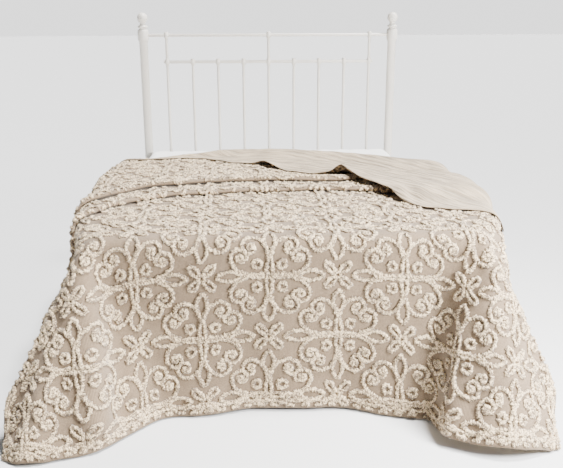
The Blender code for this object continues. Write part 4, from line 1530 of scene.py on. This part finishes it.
class BEDSPREAD_OT_stage(Operator):
    """Make the floor, the lights and the camera"""

    bl_idname = "bedspread.make_stage"
    bl_label = "Studio"

    def execute(self, context):
        looks = context.scene.bedspread_studio
        half = FLOOR_SIZE / 2
        corners = np.array([(-half, -half, 0.0), (half, -half, 0.0),
                            (half, half, 0.0), (-half, half, 0.0)])
        floor = mesh_piece("studio_floor", corners, [np.array([[0, 1, 2, 3]])])
        finish = Finish("studio floor")
        grain = finish.noise(finish.place(), 3.0, 2.0)
        color = finish.mix(grain, solid_color(looks.floor_color, 0.995),
                           solid_color(looks.floor_color, 1.0))
        floor.data.materials.append(finish.shade(Base_Color=color, Roughness=0.9))
        self.add_daylight(context, looks)
        overhead = bpy.data.lights.new("overhead light", "SUN")
        overhead.energy = looks.overhead_strength
        overhead.angle = math.radians(OVERHEAD_SOFTNESS)
        self.hang_lamp(context, overhead, (0, 0, 0), OVERHEAD_DIRECTION)
        side = bpy.data.lights.new("side light", "AREA")
        side.shape = "DISK"
        side.size = SIDE_LIGHT_SIZE
        side.energy = looks.side_power
        aim = Vector(SIDE_LIGHT_PLACE) - Vector(SIDE_LIGHT_AIM)
        self.hang_lamp(context, side, Vector(BED_PLACE) + Vector(SIDE_LIGHT_PLACE), aim)
        self.add_camera(context)
        return {"FINISHED"}

    def hang_lamp(self, context, data, place, backward):
        """Lamp at a place, its back turned to the given direction."""
        lamp = bpy.data.objects.new(data.name, data)
        lamp.location = place
        lamp.rotation_euler = Vector(backward).to_track_quat("Z", "Y").to_euler()
        context.scene.collection.objects.link(lamp)

    def add_daylight(self, context, looks):
        """Even light from all round, paler low down behind the bed, as before a white wall."""
        world = bpy.data.worlds.new("studio world")
        world.use_nodes = True
        sky = Nodes(world.node_tree)
        direction = sky.node("ShaderNodeTexCoord", {}, {}, "Generated")
        height = sky.node("ShaderNodeSeparateXYZ", {}, {0: direction}, "Z")
        headward = sky.node("ShaderNodeSeparateXYZ", {}, {0: direction}, "Y")
        low_down = sky.carried(height, BAND_HEIGHT, (0.0, 1.0))
        behind = sky.carried(headward, BAND_HEADWARD, (BAND_ELSEWHERE, 1.0))
        strength = sky.carried(low_down * behind, (0.0, 1.0), (looks.daylight, looks.horizon))
        white = {"Color": (1.0, 1.0, 1.0, 1.0), "Strength": strength}
        sky.end_in("ShaderNodeOutputWorld", sky.node("ShaderNodeBackground", {}, white))
        context.scene.world = world

    def add_camera(self, context):
        """Camera at the height and angle of someone standing before the foot of the bed."""
        data = bpy.data.cameras.new("camera")
        data.sensor_fit = "HORIZONTAL"
        data.sensor_width = SENSOR_WIDTH
        data.lens = CAMERA_LENS
        data.clip_end = 100.0
        camera = bpy.data.objects.new("camera", data)
        yaw, pitch, roll = (math.radians(a) for a in (CAMERA_YAW, CAMERA_PITCH, CAMERA_ROLL))
        forward = Vector((math.sin(yaw) * math.cos(pitch), math.cos(yaw) * math.cos(pitch),
                          -math.sin(pitch)))
        level = Vector((math.cos(yaw), -math.sin(yaw), 0.0))
        upright = level.cross(forward)
        right = level * math.cos(roll) + upright * math.sin(roll)
        up = upright * math.cos(roll) - level * math.sin(roll)
        turn = Matrix((right, up, -forward)).transposed().to_4x4()
        camera.matrix_world = Matrix.Translation(Vector(CAMERA_PLACE) + Vector(BED_PLACE)) @ turn
        context.scene.collection.objects.link(camera)
        context.scene.camera = camera


class BEDSPREAD_PT_panel(Panel):
    """Settings and buttons in the sidebar"""

    bl_idname = "BEDSPREAD_PT_panel"
    bl_label = "Bedspread"
    bl_space_type = "VIEW_3D"
    bl_region_type = "UI"
    bl_category = "Bedspread"

    def draw(self, context):
        for group in (context.scene.bedspread_cloth, context.scene.bedspread_bed,
                      context.scene.bedspread_studio):
            box = self.layout.box()
            for name in group.__annotations__:
                box.prop(group, name)
        for operator in OPERATORS:
            self.layout.operator(operator.bl_idname)


OPERATORS = (
    BEDSPREAD_OT_mattress,
    BEDSPREAD_OT_base,
    BEDSPREAD_OT_headboard,
    BEDSPREAD_OT_frame_finish,
    BEDSPREAD_OT_cloth,
    BEDSPREAD_OT_tufting,
    BEDSPREAD_OT_stage,
)
CLASSES = (ClothSettings, BedSettings, StudioSettings) + OPERATORS + (BEDSPREAD_PT_panel,)


def register():
    """Register the classes and hang the settings on the scene."""
    for made in CLASSES:
        bpy.utils.register_class(made)
    bpy.types.Scene.bedspread_cloth = PointerProperty(type=ClothSettings)
    bpy.types.Scene.bedspread_bed = PointerProperty(type=BedSettings)
    bpy.types.Scene.bedspread_studio = PointerProperty(type=StudioSettings)


def unregister():
    """Take the settings and classes away again."""
    del bpy.types.Scene.bedspread_cloth
    del bpy.types.Scene.bedspread_bed
    del bpy.types.Scene.bedspread_studio
    for made in reversed(CLASSES):
        bpy.utils.unregister_class(made)


def main():
    """Make every piece and the stage."""
    register()
    bpy.ops.bedspread.make_mattress()
    bpy.ops.bedspread.make_base()
    bpy.ops.bedspread.make_headboard()
    bpy.ops.bedspread.finish_frame()
    bpy.ops.bedspread.make_cloth()
    bpy.ops.bedspread.make_tufting()
    bpy.ops.bedspread.make_stage()


if __name__ == "__main__":
    main()
